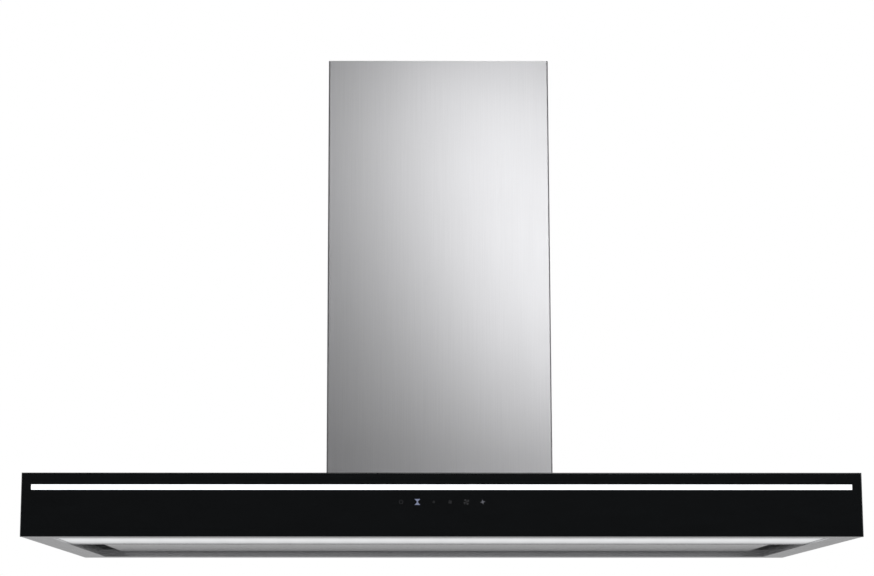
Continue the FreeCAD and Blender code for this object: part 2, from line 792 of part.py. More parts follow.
def make_frame_angles():
    """Upper angles hang from the ceiling plate; lower angles stand on the mounting plate."""
    bolt_x = lower_x - frame_leg / 2
    top = -plate_thickness
    upper = angle_leg(upper_x, upper_y, top - upper_angle_length, top)
    foot = box(upper_x - frame_foot, upper_x, upper_y - frame_foot, upper_y,
               top - frame_foot_thickness, top)
    foot = foot.cut(rod_z(upper_foot_x(), upper_foot_y(), top - frame_foot_thickness, top,
                          bolt_radius + bolt_clear))
    slot = bolt_radius + slot_clear
    slot_low = clamp_z - clamp_bolt_spacing - height_travel
    slot_y = upper_y - frame_sheet
    track = box(bolt_x - slot, bolt_x + slot, slot_y, upper_y, slot_low, clamp_z)
    for z in (slot_low, clamp_z):
        track = track.fuse(rod_y(bolt_x, slot_y, upper_y, z, slot))
    save("upper_frame_angles", four_corners(upper.fuse(foot).cut(track)))
    lower = angle_leg(lower_x, lower_y, mounting_z, -lower_angle_top)
    foot = box(lower_x - frame_foot, lower_x, lower_y - frame_foot, lower_y,
               mounting_z, mounting_z + frame_foot_thickness)
    lower = lower.fuse(foot)
    lower = lower.cut(rod_z(foot_bolt_x(), foot_bolt_y(), mounting_z, mounting_z + frame_foot_thickness,
                            bolt_radius + bolt_clear))
    for z in (clamp_z, clamp_z - clamp_bolt_spacing):
        lower = lower.cut(rod_y(bolt_x, lower_y - frame_sheet, lower_y, z, bolt_radius + bolt_clear))
    save("lower_frame_angles", four_corners(lower))


def foot_bolt(x, y, under, over):
    """A bolt with its low round head above, and a nut below, two or more clamped sheets."""
    shank = rod_z(x, y, under - bolt_nut_height, over, bolt_radius)
    head = rod_z(x, y, over, over + bolt_head_height, bolt_head)
    return shank.fuse(head).fuse(nut_z(x, y, under - bolt_nut_height, under, bolt_nut))


def clamp_bolt(x, z):
    """A frame clamp bolt: low head outside the upper angle, nut inside the lower one."""
    inside = lower_y - frame_sheet
    shank = rod_y(x, inside - bolt_nut_height, upper_y, z, bolt_radius)
    head = rod_y(x, upper_y, upper_y + bolt_head_height, z, bolt_head)
    nut = rod_y(x, inside - bolt_nut_height, inside, z, bolt_nut)
    return shank.fuse(head).fuse(nut)


def make_frame_bolts():
    over = mounting_z + frame_foot_thickness
    bolts = four_corners(foot_bolt(foot_bolt_x(), foot_bolt_y(), deck_under_z, over))
    for z in (clamp_z, clamp_z - clamp_bolt_spacing):
        bolts += four_corners(clamp_bolt(lower_x - frame_leg / 2, z))
    save("frame_bolts", bolts)


def make_ceiling_section_bolts():
    """Bolts of the upper angles and screws of the inner cover, driven up into the ceiling plate."""
    bolts = []
    top = -plate_thickness
    under = top - frame_foot_thickness
    shank = rod_z(upper_foot_x(), upper_foot_y(), under - bolt_head_height, 0, bolt_radius)
    nut = nut_z(upper_foot_x(), upper_foot_y(), under - bolt_nut_height, under, bolt_nut)
    bolts += four_corners(shank.fuse(nut))
    flange_under = top - cover_sheet
    screw = rod_z(hang_flange_width / 4, hang_screw_y(), flange_under, 0, cover_screw_radius)
    head = rod_z(hang_flange_width / 4, hang_screw_y(), flange_under - cover_screw_head_height,
                 flange_under, cover_screw_head)
    bolts += four_corners(screw.fuse(head))
    save("ceiling_section_bolts", bolts)


def make_mounting_plate():
    """Plate on the deck that carries the blower, the lower angles and the outer cover."""
    tab_inner = mounting_x - frame_sheet
    plate = slab(tab_inner, mounting_y, deck_z, mounting_z)
    for x0, x1 in ((-mounting_x, -tab_inner), (tab_inner, mounting_x)):
        plate = plate.fuse(box(x0, x1, -mounting_tab_width / 2, mounting_tab_width / 2, deck_z,
                               deck_z + mounting_tab_height))
    plate = plate.cut(slab(air_opening, air_opening, deck_z, mounting_z))
    plate = plate.cut(rod_z(gland_x, gland_y, deck_z, mounting_z, gland_thread_radius))
    for hole in bolt_holes(deck_z, mounting_z):
        plate = plate.cut(hole)
    for screw in base_screw_rods(cover_screw_radius):
        plate = plate.cut(screw)
    save("mounting_plate", plate)


# ---------------------------------------------------------------------------------------------
# Chimney covers
# ---------------------------------------------------------------------------------------------

def seam_screw_heights():
    low = deck_z + mounting_tab_height + seam_tongue
    high = -cover_top_gap - 2 * seam_tongue
    return [low + (high - low) * share for share in (0.15, 0.5, 0.85)]


def seam_screw_rods(radius):
    """Screw shanks through the back half's wall into the front half's tongue."""
    rods = []
    end = chimney_x - cover_screw_length
    for z in seam_screw_heights():
        rods += pair_x(rod_x(end, chimney_x, seam_tongue / 2, z, radius))
    return rods


def base_screw_rods(radius):
    """Screw shanks through the outer cover into the mounting plate's tabs."""
    rods = []
    end = chimney_x - cover_screw_length
    z = deck_z + mounting_tab_height / 2
    for y in (-mounting_tab_width / 4, mounting_tab_width / 4):
        rods += pair_x(rod_x(end, chimney_x, y, z, radius))
    return rods


def cover_half(half_x, half_y, z0, z1, tongue_z0):
    """Front half of a cover: a U in plan whose side walls end in tongues behind the other half."""
    tube = rounded_slab(half_x, half_y, cover_radius, z0, z1)
    bore_radius = cover_radius - cover_sheet
    tube = tube.cut(rounded_slab(half_x - cover_sheet, half_y - cover_sheet, bore_radius, z0, z1))
    half = tube.common(box(-half_x, half_x, -half_y, -seam_gap / 2, z0, z1))
    inside = half_x - cover_sheet
    for x0, x1 in ((-inside, cover_sheet - inside), (inside - cover_sheet, inside)):
        half = half.fuse(box(x0, x1, -seam_tongue, seam_tongue, tongue_z0, z1 - seam_tongue))
    return half


def plain_half(half_x, half_y, z0, z1):
    """Back half of a cover, with plain side walls."""
    tube = rounded_slab(half_x, half_y, cover_radius, z0, z1)
    bore_radius = cover_radius - cover_sheet
    tube = tube.cut(rounded_slab(half_x - cover_sheet, half_y - cover_sheet, bore_radius, z0, z1))
    return tube.common(box(-half_x, half_x, seam_gap / 2, half_y, z0, z1))


def make_outer_cover():
    top = -cover_top_gap
    tongue_low = deck_z + mounting_tab_height + seam_tongue / 2
    front = cover_half(chimney_x, chimney_y, deck_z, top, tongue_low)
    back = plain_half(chimney_x, chimney_y, deck_z, top)
    for rod in seam_screw_rods(cover_screw_radius) + base_screw_rods(cover_screw_radius):
        front = front.cut(rod)
        back = back.cut(rod)
    save("lower_cover_front", front)
    save("lower_cover_back", back)
    screws = []
    for rod in seam_screw_rods(cover_screw_radius) + base_screw_rods(cover_screw_radius):
        middle = rod.CenterOfMass
        sign = 1 if middle.x > 0 else -1
        face = sign * chimney_x
        x0, x1 = sorted((face, face + sign * cover_screw_head_height))
        screws.append(rod.fuse(rod_x(x0, x1, middle.y, middle.z, cover_screw_head)))
    save("cover_screws", screws)


def hang_flange():
    """Inward fold of the inner cover under the ceiling plate, at the front half."""
    y0 = -inner_y + cover_sheet / 2
    y1 = -inner_y + cover_sheet + hang_flange_depth
    half = hang_flange_width / 2
    flange = box(-half, half, y0, y1, -plate_thickness - cover_sheet, -plate_thickness)
    for x in (-half / 2, half / 2):
        flange = flange.cut(rod_z(x, -hang_screw_y(), -plate_thickness - cover_sheet,
                                  -plate_thickness, cover_screw_radius))
    return flange


def make_inner_cover():
    low = -inner_cover_length
    front = cover_half(inner_x, inner_y, low, -inner_cover_top, low + seam_tongue)
    back = plain_half(inner_x, inner_y, low, -inner_cover_top)
    save("upper_cover_front", front.fuse(hang_flange()))
    save("upper_cover_back", back.fuse(mirror_y(hang_flange())))


# ---------------------------------------------------------------------------------------------
# Blower
# ---------------------------------------------------------------------------------------------

def volute_face(x, grow):
    """Scroll outline in the plane at x: three growing quarter arcs and a straight throat."""
    def at(y, z):
        return Vector(x, y, z)

    def arc(y, z, radius, start, stop):
        points = []
        for degrees in (start, (start + stop) / 2, stop):
            angle = math.radians(degrees)
            points.append(at(y + radius * math.cos(angle), z + radius * math.sin(angle)))
        return Part.Arc(points[0], points[1], points[2]).toShape()

    step = volute_growth
    radius = tongue_radius + grow
    tongue_angle = 90 + math.degrees(math.asin(grow / radius))
    arcs = [arc(volute_y, volute_z, radius, tongue_angle, 180),
            arc(volute_y + step, volute_z, radius + step, 180, 270),
            arc(volute_y + step, volute_z + step, radius + 2 * step, 270, 360)]
    right = volute_y + radius + 3 * step
    left = volute_y - grow
    tongue = at(left, volute_z + math.sqrt(radius ** 2 - grow ** 2))
    corners = [at(right, volute_z + step), at(right, blower_top_z), at(left, blower_top_z), tongue]
    edges = arcs + [Part.LineSegment(a, b).toShape() for a, b in zip(corners, corners[1:])]
    return Part.Face(Part.Wire(edges))


def scroll_half():
    """Left half of the scroll: side wall with its bell-mouthed inlet, and half the rim."""
    end = -scroll_half_width - scroll_wall
    shell = volute_face(end, scroll_wall).extrude(Vector(-end, 0, 0))
    shell = shell.cut(volute_face(-scroll_half_width, 0).extrude(Vector(scroll_half_width, 0, 0)))
    lip = rod_x(end - inlet_lip, end, volute_y, volute_z, inlet_radius + scroll_wall)
    shell = shell.fuse(lip)
    return shell.cut(rod_x(end - inlet_lip, -scroll_half_width, volute_y, volute_z, inlet_radius))


def make_blower_housing():
    inside = blower_half - blower_sheet
    body = slab(blower_half, blower_half, mounting_z, blower_top_z)
    body = body.cut(slab(inside, inside, mounting_z, blower_top_z - blower_sheet))
    half = blower_flange_length / 2
    reach = blower_half + blower_flange
    flange = slab(reach, half, mounting_z, mounting_z + blower_sheet)
    flange = flange.fuse(slab(half, reach, mounting_z, mounting_z + blower_sheet))
    flange = flange.cut(slab(inside, inside, mounting_z, mounting_z + blower_sheet))
    outside = scroll_half_width + scroll_wall
    outlet = box(-outside, outside, volute_y - scroll_wall, volute_right_y + scroll_wall,
                 blower_top_z - blower_sheet, blower_top_z)
    save("blower_box", body.fuse(flange).cut(outlet))
    left = scroll_half()
    pocket = motor_arms(arm_left_x, -scroll_half_width, True)
    save("scroll_left_half", left.cut(pocket))
    save("scroll_right_half", mirror_x(scroll_half()))


def make_impeller():
    """Double-inlet wheel: centre disc and hub, blades through both sides, and two end rings."""
    y, z = volute_y, volute_z
    parts = [rod_x(wheel_disc_x, wheel_disc_x + wheel_disc_thickness, y, z, wheel_radius),
             rod_x(wheel_disc_x, wheel_disc_x + hub_length, y, z, hub_radius)]
    for x0, x1 in ((-wheel_half_width, wheel_ring_width - wheel_half_width),
                   (wheel_half_width - wheel_ring_width, wheel_half_width)):
        ring = rod_x(x0, x1, y, z, wheel_radius)
        parts.append(ring.cut(rod_x(x0, x1, y, z, wheel_radius - wheel_blade_depth)))
    blade = box(-wheel_half_width, wheel_half_width, -wheel_blade_thickness / 2,
                wheel_blade_thickness / 2, wheel_radius - wheel_blade_depth, wheel_radius - 1)
    blade.translate(Vector(0, y, z))
    sweep_point = Vector(0, y, z + wheel_radius - wheel_blade_depth / 2)
    blade.rotate(sweep_point, Vector(1, 0, 0), 35)
    for i in range(wheel_blades):
        turned = blade.copy()
        turned.rotate(Vector(0, y, z), Vector(1, 0, 0), 360.0 * i / wheel_blades)
        parts.append(turned)
    wheel = parts[0].multiFuse(parts[1:])
    bore = rod_x(wheel_disc_x, wheel_disc_x + hub_length, y, z, shaft_radius)
    save("impeller", wheel.cut(bore))


def motor_arms(x0, x1, cutter):
    """Ends of the bracket's arms, where a bush sits between arm and scroll."""
    places = []
    radius = inlet_radius + scroll_wall + bush_radius
    for i in range(arm_count):
        angle = math.radians(90 + 360.0 * i / arm_count)
        places.append((volute_y + radius * math.cos(angle), volute_z + radius * math.sin(angle)))
    screw = bolt_radius if cutter else bush_radius
    shapes = [rod_x(x0, x1, y, z, screw) for y, z in places]
    return shapes[0].multiFuse(shapes[1:])


def make_motor():
    y, z = volute_y, volute_z
    seat = bearing_radius + motor_wall
    can = rod_x(motor_left_x, motor_right_x, y, z, motor_radius)
    can = can.cut(rod_x(motor_left_x, motor_right_x - motor_wall, y, z, motor_radius - motor_wall))
    right_seat = motor_right_x - bearing_width
    can = can.fuse(rod_x(right_seat, motor_right_x, y, z, seat))
    can = can.cut(rod_x(right_seat, motor_right_x, y, z, bearing_radius))
    save("motor_can", can)

    shield_x = motor_left_x - shield_thickness
    shield = rod_x(shield_x, motor_left_x, y, z, motor_radius)
    shield = shield.fuse(rod_x(shield_x, motor_left_x + bearing_width, y, z, seat))
    reach = inlet_radius + scroll_wall + bush_radius
    for i in range(arm_count):
        post = box(arm_left_x, motor_left_x, y - arm_width / 2, y + arm_width / 2,
                   z + motor_radius - shield_thickness - arm_width / 2, z + motor_radius - arm_width / 2)
        arm = box(arm_left_x, arm_left_x + shield_thickness, y - arm_width / 2, y + arm_width / 2,
                  z + motor_radius - shield_thickness - arm_width / 2, z + reach)
        limb = post.fuse(arm).fuse(rod_x(arm_left_x, arm_left_x + shield_thickness, y, z + reach,
                                         arm_width / 2))
        limb.rotate(Vector(0, y, z), Vector(1, 0, 0), 360.0 * i / arm_count)
        shield = shield.fuse(limb)
    shield = shield.cut(rod_x(shield_x, motor_left_x + bearing_width, y, z, bearing_radius))
    shield = shield.cut(motor_arms(arm_left_x, arm_left_x + shield_thickness, True))
    save("motor_bracket", shield)

    bushes = motor_arms(arm_left_x + shield_thickness, arm_left_x + shield_thickness + bush_length, False)
    bushes = bushes.cut(motor_arms(arm_left_x, 0, True))
    save("motor_bushes", bushes)

    middle = (motor_left_x + motor_right_x) / 2
    core0, core1 = middle - stator_length / 2, middle + stator_length / 2
    stator = rod_x(core0, core1, y, z, motor_radius - motor_wall)
    save("motor_stator", stator.cut(rod_x(core0, core1, y, z, stator_inner)))
    rotor = rod_x(core0, core1, y, z, stator_inner - rotor_gap)
    save("motor_rotor", rotor.cut(rod_x(core0, core1, y, z, shaft_radius)))
    shaft_end = wheel_disc_x + hub_length
    save("motor_shaft", rod_x(shield_x, shaft_end, y, z, shaft_radius))
    bearings = []
    for x0 in (motor_left_x, right_seat):
        race = rod_x(x0, x0 + bearing_width, y, z, bearing_radius)
        bearings.append(race.cut(rod_x(x0, x0 + bearing_width, y, z, shaft_radius + bearing_clear)))
    save("motor_bearings", bearings)


# ---------------------------------------------------------------------------------------------
# Outlet with its check flaps
# ---------------------------------------------------------------------------------------------

def square_to_round(half_x, y0, y1, radius):
    """A closed transition between the blower's rectangular outlet and the round collar."""
    low = [Vector(half_x, y1, blower_top_z), Vector(-half_x, y1, blower_top_z),
           Vector(-half_x, y0, blower_top_z), Vector(half_x, y0, blower_top_z)]
    square = Part.makePolygon(low + [low[0]])
    arcs = []
    for i in range(4):
        points = []
        for share in (0, 0.5, 1):
            angle = math.radians(45 + 90 * (i + share))
            points.append(Vector(radius * math.cos(angle), radius * math.sin(angle), collar_z))
        arcs.append(Part.Arc(points[0], points[1], points[2]).toShape())
    return Part.makeLoft([square, Part.Wire(arcs)], True, True)


def make_outlet():
    outside = scroll_half_width + scroll_wall
    outer = square_to_round(outside, volute_y - scroll_wall, volute_right_y + scroll_wall, collar_radius)
    thin = scroll_wall
    inner = square_to_round(outside - thin, volute_y, volute_right_y, collar_radius - transition_wall)
    save("outlet_transition", outer.cut(inner))

    collar = rod_z(0, 0, collar_z, collar_top_z, collar_radius)
    bore = rod_z(0, 0, collar_z, collar_top_z, collar_radius - collar_wall)
    collar = collar.cut(bore)
    ledge_top = flap_z - flap_thickness / 2
    ledge = rod_z(0, 0, ledge_top - flap_ledge, ledge_top, collar_radius)
    ledge = ledge.cut(rod_z(0, 0, ledge_top - flap_ledge, ledge_top,
                            collar_radius - collar_wall - flap_ledge))
    collar = collar.fuse(ledge)
    save("duct_collar", collar.cut(rod_x(-collar_radius, collar_radius, 0, flap_z, flap_pin_radius)))
    pin_half = collar_radius - collar_wall / 2
    collar_pin = rod_x(-pin_half, pin_half, 0, flap_z, flap_pin_radius)
    save("flap_pin", collar_pin)


def flap(side):
    """One half-moon flap on its two knuckles; side is -1 for the front and +1 for the back."""
    z0 = flap_z - flap_thickness / 2
    z1 = flap_z + flap_thickness / 2
    radius = collar_radius - collar_wall - flap_clear
    edge = knuckle_radius + knuckle_gap
    leaf = rod_z(0, 0, z0, z1, radius)
    low, high = sorted((side * edge, side * radius))
    leaf = leaf.common(box(-radius, radius, low, high, z0, z1))
    step = knuckle_length + knuckle_gap
    for x in (-side * step * 1.5, side * step * 0.5):
        x0, x1 = x - knuckle_length / 2, x + knuckle_length / 2
        web_low, web_high = sorted((0, side * edge))
        leaf = leaf.fuse(box(x0, x1, web_low, web_high, z0, z1))
        leaf = leaf.fuse(rod_x(x0, x1, 0, flap_z, knuckle_radius))
    return leaf.cut(rod_x(-radius, radius, 0, flap_z, flap_pin_radius + flap_pin_clear))


def make_flaps():
    save("front_flap", flap(-1))
    save("back_flap", flap(1))


# ---------------------------------------------------------------------------------------------
# Electrics
# ---------------------------------------------------------------------------------------------

def make_electrics():
    y_middle = (rail_front_y + divider_y) / 2
    x0 = control_box_x - control_box_width / 2
    x1 = control_box_x + control_box_width / 2
    y0 = y_middle - control_box_depth / 2
    y1 = y_middle + control_box_depth / 2
    low = deck_under_z - control_box_height
    wall = control_box_wall
    shell = box(x0, x1, y0, y1, low, deck_under_z)
    save("control_box", shell.cut(box(x0 + wall, x1 - wall, y0 + wall, y1 - wall, low,
                                      deck_under_z - wall)))
    save("control_box_lid", box(x0, x1, y0, y1, low - wall, low))
    board_z = deck_under_z - 4 * wall
    board = box(x0 + 2 * wall, x1 - 2 * wall, y0 + 2 * wall, y1 - 2 * wall,
                board_z - board_thickness, board_z)
    pieces = [board]
    for x in (x0 + 4 * wall, x1 - 4 * wall):
        pieces.append(box(x - wall, x + wall, y_middle - wall, y_middle + wall, board_z,
                          deck_under_z - wall))
    under_board = board_z - board_thickness
    for share, width, depth, height in ((0.2, 28, 24, 18), (0.42, 20, 30, 12), (0.62, 16, 16, 22),
                                        (0.82, 34, 14, 14)):
        x = x0 + share * control_box_width
        pieces.append(box(x - width / 2, x + width / 2, y_middle - depth / 2, y_middle + depth / 2,
                          under_board - height, under_board))
    save("control_board", pieces)

    thread = rod_z(gland_x, gland_y, deck_under_z - gland_nut_height, mounting_z, gland_thread_radius)
    body = rod_z(gland_x, gland_y, mounting_z, mounting_z + gland_height, gland_radius)
    top_edge = [e for e in body.Edges if abs(e.CenterOfMass.z - mounting_z - gland_height) < 0.01]
    body = body.makeFillet(2 * bend_radius, top_edge)
    nut = nut_z(gland_x, gland_y, deck_under_z - gland_nut_height, deck_under_z, gland_radius)
    gland = thread.fuse(body).fuse(nut)
    save("cable_gland", gland.cut(rod_z(gland_x, gland_y, deck_under_z - gland_nut_height,
                                        mounting_z + gland_height, gland_bore)))


# ---------------------------------------------------------------------------------------------

def main():
    os.makedirs("parts", exist_ok=True)
    make_body_shell()
    make_top_panel()
    make_divider_bar()
    make_front_glass()
    make_glass_trim()
    make_light_bar()
    make_touch_controls()
    make_work_light()
    make_suction_panel()
    make_panel_fittings()
    make_panel_hinges()
    make_filter_shelf()
    make_filters()
    make_filter_latches()
    make_ceiling_plate()
    make_frame_angles()
    make_frame_bolts()
    make_ceiling_section_bolts()
    make_mounting_plate()
    make_outer_cover()
    make_inner_cover()
    make_blower_housing()
    make_impeller()
    make_motor()
    make_outlet()
    make_flaps()
    make_electrics()


main()
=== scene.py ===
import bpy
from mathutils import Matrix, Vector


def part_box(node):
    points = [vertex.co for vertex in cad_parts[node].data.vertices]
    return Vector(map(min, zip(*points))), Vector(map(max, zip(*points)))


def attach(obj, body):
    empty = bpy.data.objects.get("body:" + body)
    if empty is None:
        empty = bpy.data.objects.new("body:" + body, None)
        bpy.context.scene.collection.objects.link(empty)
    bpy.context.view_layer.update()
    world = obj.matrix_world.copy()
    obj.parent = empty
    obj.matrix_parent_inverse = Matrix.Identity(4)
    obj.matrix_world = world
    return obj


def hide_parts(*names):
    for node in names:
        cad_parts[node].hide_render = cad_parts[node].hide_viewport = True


bl_info = {
    "name": "Island Range Hood",
    "version": (1, 0, 0),
    "blender": (4, 5, 0),
    "location": "3D View > Sidebar > Range Hood",
    "description": "Finishes, lit line, touch keys and grease filters of a ceiling-hung range hood",
    "category": "Object",
}

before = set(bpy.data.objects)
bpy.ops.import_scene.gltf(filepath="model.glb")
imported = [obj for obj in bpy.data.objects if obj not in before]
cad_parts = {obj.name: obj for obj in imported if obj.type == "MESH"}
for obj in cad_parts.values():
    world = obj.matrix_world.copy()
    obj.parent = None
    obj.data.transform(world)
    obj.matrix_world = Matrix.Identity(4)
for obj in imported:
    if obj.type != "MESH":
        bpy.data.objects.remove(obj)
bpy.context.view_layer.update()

import math

import bmesh
import bpy
from bpy.props import FloatProperty, FloatVectorProperty, IntProperty, PointerProperty
from bpy.types import Operator, Panel, PropertyGroup
from mathutils import Matrix, Quaternion, Vector

BODY = "canopy"


# ---------------------------------------------------------------------------------------------
# Settings
# ---------------------------------------------------------------------------------------------

def length(name, text, default, smallest=0.0):
    """A size in metres."""
    return FloatProperty(name=name, description=text, default=default, min=smallest,
                         unit="LENGTH", subtype="DISTANCE", precision=5)


def factor(name, text, default):
    """A share from 0 to 1."""
    return FloatProperty(name=name, description=text, default=default, min=0.0, max=1.0, subtype="FACTOR")


def colour(name, text, default):
    """A linear colour."""
    return FloatVectorProperty(name=name, description=text, default=default, min=0.0, max=1.0,
                               size=3, subtype="COLOR")


def strength(name, text, default):
    """How brightly a face glows."""
    return FloatProperty(name=name, description=text, default=default, min=0.0)


class HoodSteelSettings(PropertyGroup):
    """Brushed stainless sheet of the body and the chimney."""
    bare: colour("Bare steel", "Colour of the brushed sheet", (0.66, 0.66, 0.675))
    roughness: factor("Roughness", "Spread of the chimney's reflections", 0.34)
    body_roughness: factor("Body roughness", "Spread of the body's reflections", 0.27)
    panel_roughness: factor("Panel roughness", "Spread of the suction panel's reflections", 0.18)
    brushing: factor("Brushing", "How far reflections stretch across the brush lines", 0.2)
    grain_pitch: length("Grain pitch", "Distance between two brush lines", 0.00045, 0.0001)
    grain_run: length("Grain run", "Length of one brush line", 0.12, 0.01)


class HoodGlassSettings(PropertyGroup):
    """Black glass front and its metal edge."""
    tint: colour("Glass", "Colour of the enamel behind the glass", (0.0082, 0.0094, 0.0104))
    polish: factor("Polish", "Roughness of the glass face", 0.03)
    edge: colour("Edge", "Colour of the metal edge round the glass", (0.16, 0.165, 0.17))


class HoodLightSettings(PropertyGroup):
    """Lit line in the glass and work light under the hood."""
    line_colour: colour("Line", "Colour of the lit line", (0.95, 0.98, 1.0))
    line_strength: strength("Line strength", "Glow of the lit line", 1.12)
    work_colour: colour("Work light", "Colour of the work light", (0.98, 0.99, 1.0))
    work_strength: strength("Work light strength", "Glow of the work light", 0.47)
    led_pitch: length("LED pitch", "Distance between two soft bright spots of the work light", 0.0155, 0.001)


class HoodKeySettings(PropertyGroup):
    """Touch keys that glow through the glass."""
    pitch: length("Key pitch", "Distance between two keys", 0.0233, 0.001)
    height: length("Key height", "Height of the largest sign", 0.0088, 0.001)
    stroke: length("Stroke", "Line width of the thin signs", 0.0007, 0.0001)
    print_depth: length("Print depth", "How far a sign stands proud of the glass", 0.00005, 0.00001)
    lit: colour("Lit", "Colour of a key that is on", (0.44, 0.50, 0.74))
    ready: colour("Ready", "Colour of the refresh key", (0.24, 0.25, 0.29))
    idle: colour("Idle", "Colour of a key that is off", (0.075, 0.08, 0.085))
    lit_strength: strength("Lit strength", "Glow of a key that is on", 0.42)
    idle_strength: strength("Idle strength", "Glow of a key that is off", 0.14)


class HoodFilterSettings(PropertyGroup):
    """Expanded metal on both faces of the grease filters."""
    diamond_width: length("Diamond width", "Longer diagonal of one opening", 0.0115, 0.003)
    diamond_depth: length("Diamond depth", "Shorter diagonal of one opening", 0.0058, 0.002)
    strand: length("Strand", "Width of a metal strand", 0.0009, 0.0002)
    metal: colour("Metal", "Colour of the strands", (0.66, 0.67, 0.68))


class HoodScrewSettings(PropertyGroup):
    """Cross-recess screws of the chimney seam."""
    crown: length("Crown", "Height of the domed part of the head", 0.0011, 0.0002)
    shank: length("Shank", "Radius of the threaded part", 0.0015, 0.0002)
    recess_width: length("Recess width", "Width of one arm of the cross", 0.0007, 0.0001)
    recess_span: length("Recess span", "Length of one arm of the cross", 0.0034, 0.0005)
    recess_depth: length("Recess depth", "Depth of the cross", 0.0011, 0.0001)
    sides: IntProperty(name="Sides", description="Facets round a screw head", default=32, min=8, max=96)


class HoodStageSettings(PropertyGroup):
    """Camera, lamps, surroundings and floor."""
    eye: FloatVectorProperty(name="Eye", description="Place of the camera", size=3, subtype="TRANSLATION",
                             unit="LENGTH", default=(-0.0658, -3.3932, -0.9148))
    pitch: FloatProperty(name="Pitch", description="How far the camera looks up", subtype="ANGLE",
                         unit="ROTATION", default=math.radians(9.775))
    yaw: FloatProperty(name="Yaw", description="How far the camera looks to the right", subtype="ANGLE",
                       unit="ROTATION", default=math.radians(0.193))
    lens: FloatProperty(name="Lens", description="Focal length in millimetres", default=88.434, min=10.0)
    shift: FloatVectorProperty(name="Shift", description="Sideways and upward shift of the lens", size=2,
                               default=(0.0389, 0.0))
    floor_drop: length("Floor drop", "Floor below the ceiling", 5.0, 1.0)
    floor_radius: length("Floor radius", "Radius of the floor", 60.0, 1.0)
    floor_glow: strength("Floor glow", "Brightness of the floor where it is looked at directly", 0.5)
    floor_bounce: strength("Floor bounce", "Light that the floor throws back up at the hood", 0.1)
    floor_tint: colour("Floor", "Colour of the floor", (0.86, 0.86, 0.86))
    key_power: FloatProperty(name="Key lamp", description="Power of the tall lamp in front of the chimney",
                             unit="POWER", default=4.2, min=0.0)
    rear_power: FloatProperty(name="Rear lamp", description="Power of the lamp behind the hood",
                              unit="POWER", default=14.0, min=0.0)
    overhead_power: FloatProperty(name="Overhead lamp", description="Power of the wide lamp over the hood",
                                  unit="POWER", default=200.0, min=0.0)
    room_dark: FloatProperty(name="Room, front", description="Brightness of the room behind the camera",
                             default=0.06, min=0.0)
    room_light: FloatProperty(name="Room, rear", description="Brightness of the room behind the hood",
                              default=0.66, min=0.0)


# ---------------------------------------------------------------------------------------------
# Materials
# ---------------------------------------------------------------------------------------------

